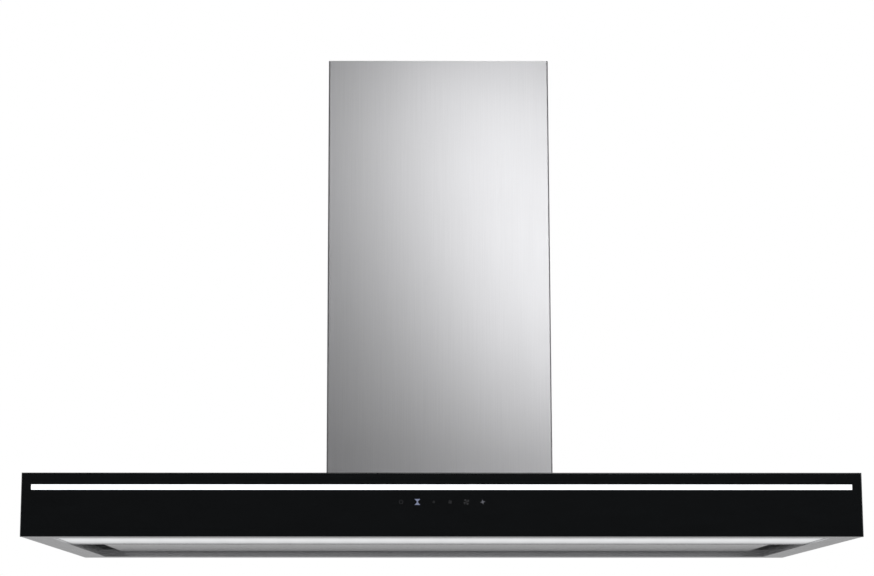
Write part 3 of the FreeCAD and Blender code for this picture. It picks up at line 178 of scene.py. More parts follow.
class Finish:
    """A node material, built up step by step.  Pitches are metres on the piece itself."""

    def __init__(self, name, tint, roughness, metallic=0.0, specular=0.5):
        self.material = bpy.data.materials.new(name)
        self.material.use_nodes = True
        self.tree = self.material.node_tree
        self.shader = self.tree.nodes["Principled BSDF"]
        self.tint = tint
        self.roughness = roughness
        self.shader.inputs["Base Color"].default_value = (*tint, 1.0)
        self.shader.inputs["Roughness"].default_value = roughness
        self.shader.inputs["Metallic"].default_value = metallic
        self.shader.inputs["Specular IOR Level"].default_value = specular
        self.place = self.node("ShaderNodeTexCoord").outputs["Object"]

    def node(self, kind, **settings):
        """A new node with these settings."""
        made = self.tree.nodes.new(kind)
        for name, value in settings.items():
            setattr(made, name, value)
        return made

    def feed(self, node, **inputs):
        """Sets or links a node's inputs, named with _ for a space."""
        for name, value in inputs.items():
            socket = node.inputs[name.replace("_", " ")]
            if isinstance(value, bpy.types.NodeSocket):
                self.tree.links.new(value, socket)
            else:
                socket.default_value = value
        return node

    def scaled(self, pitches):
        """The piece's own space, counted in these pitches along X, Y and Z, or in one pitch for all."""
        if isinstance(pitches, float):
            pitches = (pitches, pitches, pitches)
        node = self.node("ShaderNodeMapping", vector_type="POINT")
        self.feed(node, Vector=self.place, Scale=tuple(1.0 / pitch for pitch in pitches))
        return node.outputs["Vector"]

    def noise(self, pitches, detail=2.0, rough=0.5):
        """Cloudy values from 0 to 1, about 0.5."""
        node = self.node("ShaderNodeTexNoise")
        self.feed(node, Vector=self.scaled(pitches), Scale=1.0, Detail=detail, Roughness=rough)
        return node.outputs["Fac"]

    def cells(self, pitches, feature="F1", output="Distance"):
        """Voronoi cells of these pitches."""
        node = self.node("ShaderNodeTexVoronoi", feature=feature)
        self.feed(node, Vector=self.scaled(pitches), Scale=1.0)
        return node.outputs[output]

    def bands(self, pitch, direction):
        """Even stripes along an axis, from 0 to 1."""
        node = self.node("ShaderNodeTexWave", wave_type="BANDS", bands_direction=direction)
        self.feed(node, Vector=self.scaled(pitch), Scale=math.pi / 10, Distortion=0.0)
        return node.outputs["Fac"]

    def grey(self, value):
        """One channel of a colour, as a value."""
        node = self.node("ShaderNodeSeparateColor")
        self.feed(node, Color=value)
        return node.outputs["Red"]

    def remap(self, value, low, high, start=0.3, end=0.7):
        """Spreads a value's middle range from low to high."""
        node = self.node("ShaderNodeMapRange")
        self.feed(node, Value=value, From_Min=start, From_Max=end, To_Min=low, To_Max=high)
        return node.outputs["Result"]

    def maths(self, operation, first, second):
        """Two values put together."""
        node = self.node("ShaderNodeMath", operation=operation)
        for socket, value in zip(node.inputs, (first, second)):
            if isinstance(value, bpy.types.NodeSocket):
                self.tree.links.new(value, socket)
            else:
                socket.default_value = value
        return node.outputs["Value"]

    def blend(self, first, second, share):
        """Two values, with this share of the second."""
        return self.maths("ADD", self.maths("MULTIPLY", first, 1.0 - share),
                          self.maths("MULTIPLY", second, share))

    def mix(self, share, first, second):
        """A colour between two colours."""
        node = self.node("ShaderNodeMix", data_type="RGBA")
        sockets = [s for s in node.inputs if s.type == "RGBA"]
        self.feed(node, Factor=share)
        for socket, value in zip(sockets, (first, second)):
            if isinstance(value, bpy.types.NodeSocket):
                self.tree.links.new(value, socket)
            else:
                socket.default_value = (*value[:3], 1.0)
        return next(s for s in node.outputs if s.type == "RGBA")

    def paint(self, value):
        """Links the shader's colour."""
        self.feed(self.shader, Base_Color=value)

    def vary(self, value, amount):
        """Colour a little darker and lighter than the tint."""
        darker = [channel * (1.0 - amount) for channel in self.tint]
        lighter = [min(1.0, channel * (1.0 + amount)) for channel in self.tint]
        self.paint(self.mix(self.remap(value, 0.0, 1.0), darker, lighter))

    def wear(self, value, amount):
        """Roughness a little below and above its own."""
        self.feed(self.shader, Roughness=self.remap(value, self.roughness - amount, self.roughness + amount))

    def relief(self, value, height, amount=1.0):
        """Bumps of this height in metres."""
        node = self.node("ShaderNodeBump")
        self.feed(node, Height=value, Distance=height, Strength=amount)
        self.feed(self.shader, Normal=node.outputs["Normal"])

    def glow(self, value, tint, amount, least=0.94):
        """The face gives off light, between the least share and all of its strength."""
        dim = [channel * least for channel in tint]
        self.feed(self.shader, Emission_Color=self.mix(value, dim, tint), Emission_Strength=amount)

    def across(self, axis, start, end):
        """A hump that rises from 0 at one place to 1 in the middle and falls to 0 at the other."""
        place = self.node("ShaderNodeSeparateXYZ")
        self.feed(place, Vector=self.place)
        ramp = self.remap(place.outputs[axis], 0.0, math.pi, start, end)
        return self.maths("SINE", ramp, 0.0)


def brushed_steel(name, settings, grain_axis, roughness=None):
    """Stainless sheet with long fine brush lines along one axis."""
    finish = Finish(name, settings.bare, roughness or settings.roughness, metallic=1.0)
    run = "XYZ".index(grain_axis)

    def along(pitch, reach):
        return [reach if axis == run else pitch for axis in range(3)]

    lines = finish.noise(along(settings.grain_pitch, settings.grain_run), detail=3.0, rough=0.65)
    bundles = finish.noise(along(settings.grain_pitch * 9, settings.grain_run * 3), detail=2.0)
    patches = finish.noise(0.16, detail=3.0)
    brushed = finish.blend(lines, bundles, 0.12)
    finish.vary(brushed, 0.045)
    finish.wear(finish.blend(brushed, patches, 0.15), 0.03)
    finish.relief(lines, 0.000003, 0.5)
    tangent = finish.node("ShaderNodeTangent", direction_type="RADIAL", axis=grain_axis)
    finish.feed(finish.shader, Anisotropic=settings.brushing, Tangent=tangent.outputs["Tangent"])
    return finish.material


def black_glass(name, settings):
    """Toughened glass with black enamel behind it, and faint wiping marks."""
    finish = Finish(name, settings.tint, settings.polish)
    wipes = finish.noise((0.05, 0.05, 0.012), detail=4.0, rough=0.6)
    finish.vary(wipes, 0.08)
    finish.wear(wipes, 0.012)
    finish.relief(finish.noise((0.35, 0.35, 0.12)), 0.00001, 0.3)
    return finish.material


def drawn_metal(name, tint, roughness, grain_axis, pitch=0.0006):
    """Extruded or drawn metal with die lines along one axis."""
    finish = Finish(name, tint, roughness, metallic=1.0)
    pitches = [0.25 if axis == grain_axis else pitch for axis in "XYZ"]
    lines = finish.noise(pitches, detail=2.0, rough=0.6)
    finish.vary(lines, 0.07)
    finish.wear(finish.noise(0.02, detail=4.0), 0.06)
    finish.relief(lines, 0.000006, 0.5)
    return finish.material


def galvanised_sheet(name):
    """Zinc-dipped sheet with its spangle of pale crystals."""
    finish = Finish(name, (0.50, 0.52, 0.53), 0.42, metallic=0.95)
    spangle = finish.grey(finish.cells(0.009, output="Color"))
    cloud = finish.noise(0.03, detail=4.0)
    patch = finish.blend(spangle, cloud, 0.45)
    finish.vary(patch, 0.16)
    finish.wear(patch, 0.11)
    finish.relief(spangle, 0.000008, 0.4)
    return finish.material


def plated_steel(name, tint=(0.74, 0.74, 0.73)):
    """Bright zinc plate, a little cloudy, with fine turning marks."""
    finish = Finish(name, tint, 0.27, metallic=1.0)
    cloud = finish.noise(0.004, detail=5.0, rough=0.65)
    finish.vary(cloud, 0.09)
    finish.wear(cloud, 0.08)
    finish.relief(finish.noise(0.0004), 0.000004, 0.5)
    return finish.material


def powder_coat(name, tint, roughness=0.46):
    """Baked powder paint with its orange-peel skin."""
    finish = Finish(name, tint, roughness)
    peel = finish.noise(0.0016, detail=1.0)
    finish.vary(finish.noise(0.05, detail=3.0), 0.03)
    finish.wear(peel, 0.05)
    finish.relief(peel, 0.00002, 0.5)
    return finish.material


def moulded_plastic(name, tint, roughness=0.5, pitch=0.0009, height=0.00002):
    """Injection-moulded plastic with a fine eroded texture."""
    finish = Finish(name, tint, roughness)
    eroded = finish.noise(pitch, detail=3.0, rough=0.6)
    flow = finish.noise(0.04, detail=3.0)
    finish.vary(finish.blend(eroded, flow, 0.5), 0.12)
    finish.wear(eroded, 0.07)
    finish.relief(eroded, height, 0.6)
    return finish.material


def circuit_board(name, mask, copper):
    """Solder mask with tracks that show through it and tinned pads."""
    finish = Finish(name, mask, 0.38)
    tracks = finish.maths("MAXIMUM", finish.bands(0.0032, "X"), finish.bands(0.0041, "Y"))
    breaks = finish.remap(finish.noise(0.006), 0.0, 1.0, 0.45, 0.55)
    shown = finish.maths("MULTIPLY", finish.remap(tracks, 0.0, 1.0, 0.86, 0.92), breaks)
    tracked = finish.mix(shown, mask, copper)
    pads = finish.remap(finish.cells(0.0052), 1.0, 0.0, 0.10, 0.14)
    finish.paint(finish.mix(pads, tracked, (0.62, 0.63, 0.64)))
    finish.feed(finish.shader, Metallic=pads)
    finish.relief(shown, 0.00003, 0.7)
    return finish.material


def wound_copper(name):
    """Enamelled copper wire laid turn by turn, with painted shade in the creases between the turns and
    lighter crests.
    """
    finish = Finish(name, (0.36, 0.17, 0.08), 0.33, metallic=0.85)
    turns = finish.bands(0.0011, "X")
    # painted shade: the copper runs from 0.7 to 1.3 of its tint with the turns, darker in the creases between
    # turns and lighter on their crests, mixed with random tone from the noise
    finish.vary(finish.blend(turns, finish.noise(0.004), 0.4), 0.3)
    finish.wear(turns, 0.08)
    finish.relief(turns, 0.0002, 0.8)
    return finish.material


def opal_light(name, tint, amount, spot_pitch):
    """Opal acrylic lit from behind, with faint softer and brighter spots."""
    finish = Finish(name, (0.82, 0.83, 0.84), 0.36)
    finish.glow(lit_spots(finish, spot_pitch), tint, amount)
    finish.relief(finish.noise(0.0008), 0.00001, 0.4)
    return finish.material


def lit_spots(finish, pitch):
    """Soft spots over a row of LEDs, broken up by the haze of the acrylic."""
    spots = finish.remap(finish.bands(pitch, "X"), 0.2, 1.0, 0.0, 1.0)
    return finish.maths("MULTIPLY", spots, finish.remap(finish.noise(0.004), 0.9, 1.0))


def opal_panel(name, tint, amount, spot_pitch, front, back):
    """Wide opal panel that is brightest over its middle and fades towards its front and back."""
    finish = Finish(name, (0.60, 0.61, 0.62), 0.40)
    hump = finish.across("Y", front, back)
    finish.glow(finish.blend(hump, lit_spots(finish, spot_pitch), 0.08), tint, amount, least=0.15)
    finish.relief(finish.noise(0.0008), 0.00001, 0.4)
    return finish.material


def key_print(name, tint, amount):
    """Printed sign that glows through the enamel."""
    finish = Finish(name, (0.02, 0.02, 0.022), 0.3)
    finish.glow(finish.noise(0.0009, detail=2.0), tint, amount)
    return finish.material


def layered_mesh(name):
    """Core of a filter: many layers of crushed metal mesh, with painted shade for the dark openings between
    the strands.
    """
    finish = Finish(name, (0.34, 0.345, 0.35), 0.5, metallic=0.8)
    first = finish.bands(0.0047, "DIAGONAL")
    second = finish.cells((0.0055, 0.0030, 0.0055), feature="DISTANCE_TO_EDGE")
    strands = finish.remap(finish.maths("MULTIPLY", first, second), 0.0, 1.0, 0.02, 0.2)
    # painted shade: the openings between the strands are painted near black, standing in for the shade inside
    # the deep layers of mesh
    finish.paint(finish.mix(strands, (0.05, 0.05, 0.052), (0.46, 0.465, 0.47)))
    finish.wear(strands, 0.1)
    finish.relief(strands, 0.0006, 1.0)
    return finish.material


# ---------------------------------------------------------------------------------------------
# Mesh helpers
# ---------------------------------------------------------------------------------------------

def dress(material, *nodes):
    """Gives CAD nodes this material."""
    for node in nodes:
        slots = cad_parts[node].material_slots
        if not slots:
            raise RuntimeError(f"{node} has no material slot")
        for slot in slots:
            slot.material = material


def piece(name, mesh, material, body=BODY):
    """Turns a bmesh into a piece that rides on a body and takes its finish from a slot."""
    data = bpy.data.meshes.new(name)
    mesh.normal_update()
    mesh.to_mesh(data)
    mesh.free()
    data.materials.append(material)
    made = bpy.data.objects.new(name, data)
    bpy.context.scene.collection.objects.link(made)
    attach(made, body)
    return made


def extruded_shape(mesh, outline, front, depth):
    """A flat shape in X and Z that stands on the plane Y = front and comes towards -Y."""
    near = [mesh.verts.new((x, front - depth, z)) for x, z in outline]
    far = [mesh.verts.new((x, front, z)) for x, z in outline]
    mesh.faces.new(near)
    mesh.faces.new(reversed(far))
    for first, second, third, fourth in zip(near, near[1:] + near[:1], far[1:] + far[:1], far):
        mesh.faces.new((second, first, fourth, third))


def arc(centre, radius, start, end, steps):
    """Points on an arc, angles in degrees."""
    angles = [math.radians(start + (end - start) * step / steps) for step in range(steps + 1)]
    return [(centre[0] + radius * math.cos(a), centre[1] + radius * math.sin(a)) for a in angles]


# ---------------------------------------------------------------------------------------------
# Operators: one for each group of pieces
# ---------------------------------------------------------------------------------------------

class HOOD_OT_front_glass(Operator):
    """Black glass front and the metal edge round it"""
    bl_idname = "rangehood.front_glass"
    bl_label = "Front Glass"

    def execute(self, context):
        settings = context.scene.hood_glass
        dress(black_glass("black_glass", settings), "front_glass")
        dress(drawn_metal("glass_edge", settings.edge, 0.32, "X"), "glass_trim")
        return {"FINISHED"}


class HOOD_OT_light_line(Operator):
    """Lit line across the glass, with its channel and LED strip"""
    bl_idname = "rangehood.light_line"
    bl_label = "Light Line"

    def execute(self, context):
        settings = context.scene.hood_light
        dress(opal_light("lit_line", settings.line_colour, settings.line_strength, settings.led_pitch * 2),
              "light_bar_diffuser")
        dress(drawn_metal("channel_aluminium", (0.72, 0.73, 0.74), 0.38, "X"), "light_bar_channel")
        dress(circuit_board("led_strip", (0.74, 0.76, 0.75), (0.66, 0.60, 0.45)), "light_bar_board")
        return {"FINISHED"}


class HOOD_OT_touch_keys(Operator):
    """Six glowing signs on the glass, with the touch board and its carrier"""
    bl_idname = "rangehood.touch_keys"
    bl_label = "Touch Keys"

    def power(self, centre, size, stroke):
        """Open ring with a bar at its top."""
        x, z = centre
        radius = size * 0.34
        gap_left, gap_right, steps = 120, 420, 32
        ring = (arc(centre, radius, gap_left, gap_right, steps)
                + arc(centre, radius - stroke, gap_right, gap_left, steps))
        half, foot, top = stroke / 2, z + radius * 0.2, z + radius * 1.15
        return [ring, [(x - half, foot), (x + half, foot), (x + half, top), (x - half, top)]]

    def hourglass(self, centre, size, stroke):
        """Two triangles that meet at a narrow waist, between two bars."""
        x, z = centre
        wide, tall, waist = size * 0.36, size * 0.40, stroke * 0.6
        outlines = []
        for side in (-1, 1):
            inner, outer = z + side * tall, z + side * (tall + stroke)
            half = [(x - wide, inner), (x + wide, inner), (x + waist, z), (x - waist, z)]
            bar = [(x - wide - stroke, inner), (x + wide + stroke, inner),
                   (x + wide + stroke, outer), (x - wide - stroke, outer)]
            outlines += [half[::side], bar[::side]]
        return outlines

    def fan(self, centre, size, blades=4):
        """Curved blades round a hub."""
        reach = size / 2
        root_half, tip_lead, tip_trail = 22, 62, 10
        outlines = []
        for blade in range(blades):
            turn = 360 * blade / blades
            root = arc(centre, reach * 0.30, turn - root_half, turn + root_half, 4)
            tip = arc(centre, reach, turn + tip_lead, turn + tip_trail, 8)
            outlines.append(root + tip)
        return outlines + [arc(centre, reach * 0.22, 0, 330, 11)]

    def star(self, centre, size):
        """Four points joined by hollow arcs."""
        reach = size / 2
        far, hollow = reach * 1.55, reach * 1.25
        outline = []
        for turn in (0, 90, 180, 270):
            aside = math.radians(45 + turn)
            beside = (centre[0] + far * math.cos(aside), centre[1] + far * math.sin(aside))
            outline += arc(beside, hollow, 225 + turn, 191 + turn, 6)
        return [outline]

    def execute(self, context):
        settings = context.scene.hood_keys
        board_low, board_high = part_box("touch_board")
        row = (board_low.z + board_high.z) / 2
        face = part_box("front_glass")[0].y
        lit = key_print("key_lit", settings.lit, settings.lit_strength)
        ready = key_print("key_ready", settings.ready, settings.lit_strength)
        idle = key_print("key_idle", settings.idle, settings.idle_strength)
        tall, stroke = settings.height, settings.stroke
        keys = 6
        centres = [((place - (keys - 1) / 2) * settings.pitch, row) for place in range(keys)]
        signs = (("power", self.power(centres[0], tall, stroke), idle),
                 ("timer", self.hourglass(centres[1], tall, stroke), lit),
                 ("low_fan", self.fan(centres[2], tall * 0.42), idle),
                 ("middle_fan", self.fan(centres[3], tall * 0.62), idle),
                 ("high_fan", self.fan(centres[4], tall * 0.95), idle),
                 ("refresh", self.star(centres[5], tall * 1.1), ready))
        for name, outlines, material in signs:
            mesh = bmesh.new()
            for outline in outlines:
                extruded_shape(mesh, outline, face, settings.print_depth)
            bmesh.ops.recalc_face_normals(mesh, faces=mesh.faces)
            piece(f"key_{name}", mesh, material)
        dress(circuit_board("touch_circuit", (0.015, 0.02, 0.018), (0.05, 0.06, 0.05)), "touch_board")
        dress(moulded_plastic("carrier_plastic", (0.035, 0.035, 0.04)), "touch_carrier")
        return {"FINISHED"}


class HOOD_OT_body_shell(Operator):
    """Brushed steel shell of the body, with its lines along each panel"""
    bl_idname = "rangehood.body_shell"
    bl_label = "Body Shell"

    def execute(self, context):
        settings = context.scene.hood_steel
        lengthwise = brushed_steel("brushed_steel_lengthwise", settings, "X", settings.body_roughness)
        sideways = brushed_steel("brushed_steel_sideways", settings, "Y", settings.body_roughness)
        dress(lengthwise, "front_panel", "back_panel", "top_panel", "divider_bar")
        dress(sideways, "left_side_panel", "right_side_panel")
        return {"FINISHED"}


class HOOD_OT_chimney(Operator):
    """Outer and inner chimney covers, brushed up and down"""
    bl_idname = "rangehood.chimney"
    bl_label = "Chimney"

    def execute(self, context):
        upright = brushed_steel("brushed_steel_upright", context.scene.hood_steel, "Z")
        dress(upright, "lower_cover_front", "lower_cover_back", "upper_cover_front", "upper_cover_back")
        return {"FINISHED"}


class HOOD_OT_suction_panel(Operator):
    """Hinged panel under the filters, with its stiffeners, hinges, strikes and magnets"""
    bl_idname = "rangehood.suction_panel"
    bl_label = "Suction Panel"

    def execute(self, context):
        settings = context.scene.hood_steel
        dress(brushed_steel("brushed_steel_panel", settings, "X", settings.panel_roughness), "suction_panel")
        dress(galvanised_sheet("panel_zinc"), "panel_stiffeners")
        dress(plated_steel("hinge_steel"), "panel_hinge_brackets", "panel_hinge_leaves", "catch_strikes")
        dress(drawn_metal("hinge_pin_steel", (0.7, 0.7, 0.7), 0.2, "X"), "panel_hinge_pins")
        dress(moulded_plastic("magnet_ferrite", (0.06, 0.06, 0.065), 0.55, pitch=0.0004), "catch_magnets")
        return {"FINISHED"}


class HOOD_OT_work_light(Operator):
    """Wide work light behind the front border"""
    bl_idname = "rangehood.work_light"
    bl_label = "Work Light"

    def execute(self, context):
        settings = context.scene.hood_light
        low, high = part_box("work_light_diffuser")
        dress(opal_panel("work_light", settings.work_colour, settings.work_strength, settings.led_pitch * 3,
                         low.y, high.y), "work_light_diffuser")
        dress(powder_coat("tray_enamel", (0.82, 0.82, 0.82)), "work_light_tray")
        dress(circuit_board("work_light_circuit", (0.76, 0.78, 0.77), (0.66, 0.60, 0.45)),
              "work_light_boards")
        return {"FINISHED"}


class HOOD_OT_grease_filters(Operator):
    """Three framed grease filters with expanded metal on both faces, their latches and shelf"""
    bl_idname = "rangehood.grease_filters"
    bl_label = "Grease Filters"

    def lattice(self, mesh, low, high, width, depth, height):
        """Diamonds that share their edges, in the plane Z = height."""
        columns = math.ceil((high.x - low.x) / width) * 2
        rows = math.ceil((high.y - low.y) / depth) * 2
        step_x = (high.x - low.x) / columns
        step_y = (high.y - low.y) / rows
        corners = {}

        def corner(column, row):
            if (column, row) not in corners:
                corners[column, row] = mesh.verts.new((low.x + column * step_x, low.y + row * step_y, height))
            return corners[column, row]

        for column in range(1, columns):
            for row in range(1 + column % 2, rows, 2):
                mesh.faces.new((corner(column - 1, row), corner(column, row - 1),
                                corner(column + 1, row), corner(column, row + 1)))

    def cores(self, count):
        """Lowest and highest corner of each filter core, from left to right."""
        low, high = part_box("filter_meshes")
        shelf_low, shelf_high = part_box("filter_shelf")
        share = (shelf_high.x - shelf_low.x) / count
        corners = [vertex.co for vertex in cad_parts["filter_meshes"].data.vertices]
        found = []
        for place in range(count):
            start = shelf_low.x + share * place
            mine = [corner.x for corner in corners if start < corner.x < start + share]
            found.append((Vector((min(mine), low.y, low.z)), Vector((max(mine), high.y, high.z))))
        return found

    def execute(self, context):
        settings = context.scene.hood_filters
        strand_metal = plated_steel("strand_aluminium", settings.metal)
        frames_low, frames_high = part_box("filter_frames")
        names = ("left", "middle", "right")
        for name, (low, high) in zip(names, self.cores(len(names))):
            mesh = bmesh.new()
            for height in ((frames_low.z + low.z) / 2, (frames_high.z + high.z) / 2):
                self.lattice(mesh, low, high, settings.diamond_width, settings.diamond_depth, height)
            made = piece(f"expanded_metal_{name}", mesh, strand_metal)
            strands = made.modifiers.new("strands", "WIREFRAME")
            strands.thickness = settings.strand
            strands.use_even_offset = False
        dress(layered_mesh("filter_core"), "filter_meshes")
        dress(drawn_metal("filter_frame_aluminium", (0.72, 0.73, 0.74), 0.36, "Y"), "filter_frames")
        dress(galvanised_sheet("shelf_zinc"), "filter_shelf")
        dress(moulded_plastic("latch_plastic", (0.045, 0.046, 0.05), 0.45),
              "left_filter_latch", "middle_filter_latch", "right_filter_latch")
        return {"FINISHED"}


class HOOD_OT_support_frame(Operator):
    """Ceiling plate, angles and mounting plate that carry the hood"""
    bl_idname = "rangehood.support_frame"
    bl_label = "Support Frame"

    def execute(self, context):
        dress(galvanised_sheet("frame_zinc"), "ceiling_plate", "upper_frame_angles", "lower_frame_angles",
              "mounting_plate")
        dress(plated_steel("bolt_zinc"), "frame_bolts", "ceiling_section_bolts")
        return {"FINISHED"}


class HOOD_OT_blower(Operator):
    """Blower housing, scroll, wheel, motor, outlet and check flaps"""
    bl_idname = "rangehood.blower"
    bl_label = "Blower"

    def execute(self, context):
        dress(galvanised_sheet("blower_zinc"), "blower_box")
        dress(moulded_plastic("scroll_plastic", (0.20, 0.205, 0.21), 0.48),
              "scroll_left_half", "scroll_right_half")
        dress(moulded_plastic("wheel_plastic", (0.10, 0.10, 0.11), 0.42, pitch=0.0007), "impeller")
        dress(powder_coat("motor_paint", (0.05, 0.05, 0.055)), "motor_can", "motor_bracket")
        dress(wound_copper("windings"), "motor_stator")
        dress(drawn_metal("rotor_steel", (0.42, 0.43, 0.44), 0.4, "X"), "motor_rotor")
        dress(drawn_metal("shaft_steel", (0.7, 0.7, 0.7), 0.18, "X", pitch=0.0003), "motor_shaft", "flap_pin")
        dress(plated_steel("bearing_steel"), "motor_bearings")
        dress(moulded_plastic("bush_rubber", (0.022, 0.022, 0.024), 0.75, pitch=0.0006, height=0.00004),
              "motor_bushes")
        dress(moulded_plastic("duct_plastic", (0.055, 0.056, 0.06), 0.5), "outlet_transition", "duct_collar",
              "front_flap", "back_flap")
        return {"FINISHED"}


class HOOD_OT_control_box(Operator):
    """Control box, its board and the cable gland"""
    bl_idname = "rangehood.control_box"
    bl_label = "Control Box"

    def execute(self, context):
        dress(galvanised_sheet("control_box_zinc"), "control_box", "control_box_lid")
        dress(circuit_board("control_circuit", (0.02, 0.14, 0.06), (0.06, 0.26, 0.11)), "control_board")
        dress(moulded_plastic("gland_plastic", (0.05, 0.05, 0.052), 0.4), "cable_gland")
        return {"FINISHED"}


class HOOD_OT_cover_screws(Operator):
    """Pan-head screws with a cross recess, in the place of the plain ones"""
    bl_idname = "rangehood.cover_screws"
    bl_label = "Cover Screws"

    def clusters(self, node, reach):
        """Corners of each separate fastener in a node."""
        groups = []
        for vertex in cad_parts[node].data.vertices:
            near = next((g for g in groups if (g[0] - vertex.co).length < reach), None)
            if near:
                near.append(vertex.co)
            else:
                groups.append([vertex.co])
        return groups

    def blank(self, settings, radius, height, shank_length):
        """A turned profile: pointed shank and domed head."""
        shank, crown = settings.shank, settings.crown
        profile = [(0.0, -shank_length), (shank * 0.7, -shank_length), (shank, -shank_length + shank * 0.4),
                   (shank, 0.0), (radius, 0.0)]
        for degrees in range(0, 90, 15):
            angle = math.radians(degrees)
            profile.append((radius * math.cos(angle), height - crown + crown * math.sin(angle)))
        profile.append((0.0, height))
        mesh = bmesh.new()
        points = [mesh.verts.new((r, 0.0, z)) for r, z in profile]
        edges = [mesh.edges.new(pair) for pair in zip(points, points[1:])]
        bmesh.ops.spin(mesh, geom=points + edges, axis=(0, 0, 1), cent=(0, 0, 0),
                       angle=math.tau, steps=settings.sides)
        bmesh.ops.remove_doubles(mesh, verts=mesh.verts, dist=1e-6)
        bmesh.ops.recalc_face_normals(mesh, faces=mesh.faces)
        return mesh

    def cross(self, settings, height):
        """The two arms that are cut out of the head."""
        mesh = bmesh.new()
        span, width, depth = settings.recess_span, settings.recess_width, settings.recess_depth * 2
        for size in ((span, width, depth), (width, span, depth)):
            place = Matrix.Translation((0, 0, height)) @ Matrix.Diagonal((*Vector(size), 1.0))
            bmesh.ops.create_cube(mesh, size=1.0, matrix=place)
        return mesh

    def screw(self, settings, radius, height, shank_length):
        """One screw along +Z, with its recess cut."""
        parts = []
        for name, mesh in (("screw_blank", self.blank(settings, radius, height, shank_length)),
                           ("screw_cross", self.cross(settings, height))):
            data = bpy.data.meshes.new(name)
            mesh.to_mesh(data)
            mesh.free()
            parts.append(bpy.data.objects.new(name, data))
            bpy.context.scene.collection.objects.link(parts[-1])
        blank, cross = parts
        cut = blank.modifiers.new("recess", "BOOLEAN")
        cut.object = cross
        cut.operation = "DIFFERENCE"
        cut.solver = "EXACT"
        cut.use_self = True
        graph = bpy.context.evaluated_depsgraph_get()
        finished = bpy.data.meshes.new_from_object(blank.evaluated_get(graph))
        for part in parts:
            bpy.data.objects.remove(part)
        return finished

    def turn(self, height):
        """How far round a screw at this height stands, so that neighbours differ."""
        steps_per_metre, steps, degrees_per_step = 40, 5, 37
        return Matrix.Rotation(math.radians(degrees_per_step * (height * steps_per_metre % steps)), 4, "Z")

    def execute(self, context):
        settings = context.scene.hood_screws
        cover_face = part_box("lower_cover_front")[1].x
        head_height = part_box("cover_screws")[1].x - cover_face
        groups = self.clusters("cover_screws", reach=0.01)
        if len(groups) < 2:
            raise RuntimeError("the cover screws weren't found")
        mesh = bmesh.new()
        for group in groups:
            middle = [(min(c[axis] for c in group) + max(c[axis] for c in group)) / 2 for axis in range(3)]
            side = 1 if middle[0] > 0 else -1
            outer = max(abs(c.x) for c in group)
            inner = min(abs(c.x) for c in group)
            radius = (max(c.z for c in group) - min(c.z for c in group)) / 2
            seat = Vector((side * (outer - head_height), middle[1], middle[2]))
            one = self.screw(settings, radius, head_height, outer - head_height - inner)
            aim = Matrix.Rotation(side * math.pi / 2, 4, "Y")
            one.transform(Matrix.Translation(seat) @ aim @ self.turn(middle[2]))
            mesh.from_mesh(one)
        steel = plated_steel("screw_steel", (0.62, 0.62, 0.63))
        made = piece("cross_recess_screws", mesh, steel)
        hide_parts("cover_screws")
        return {"FINISHED"}


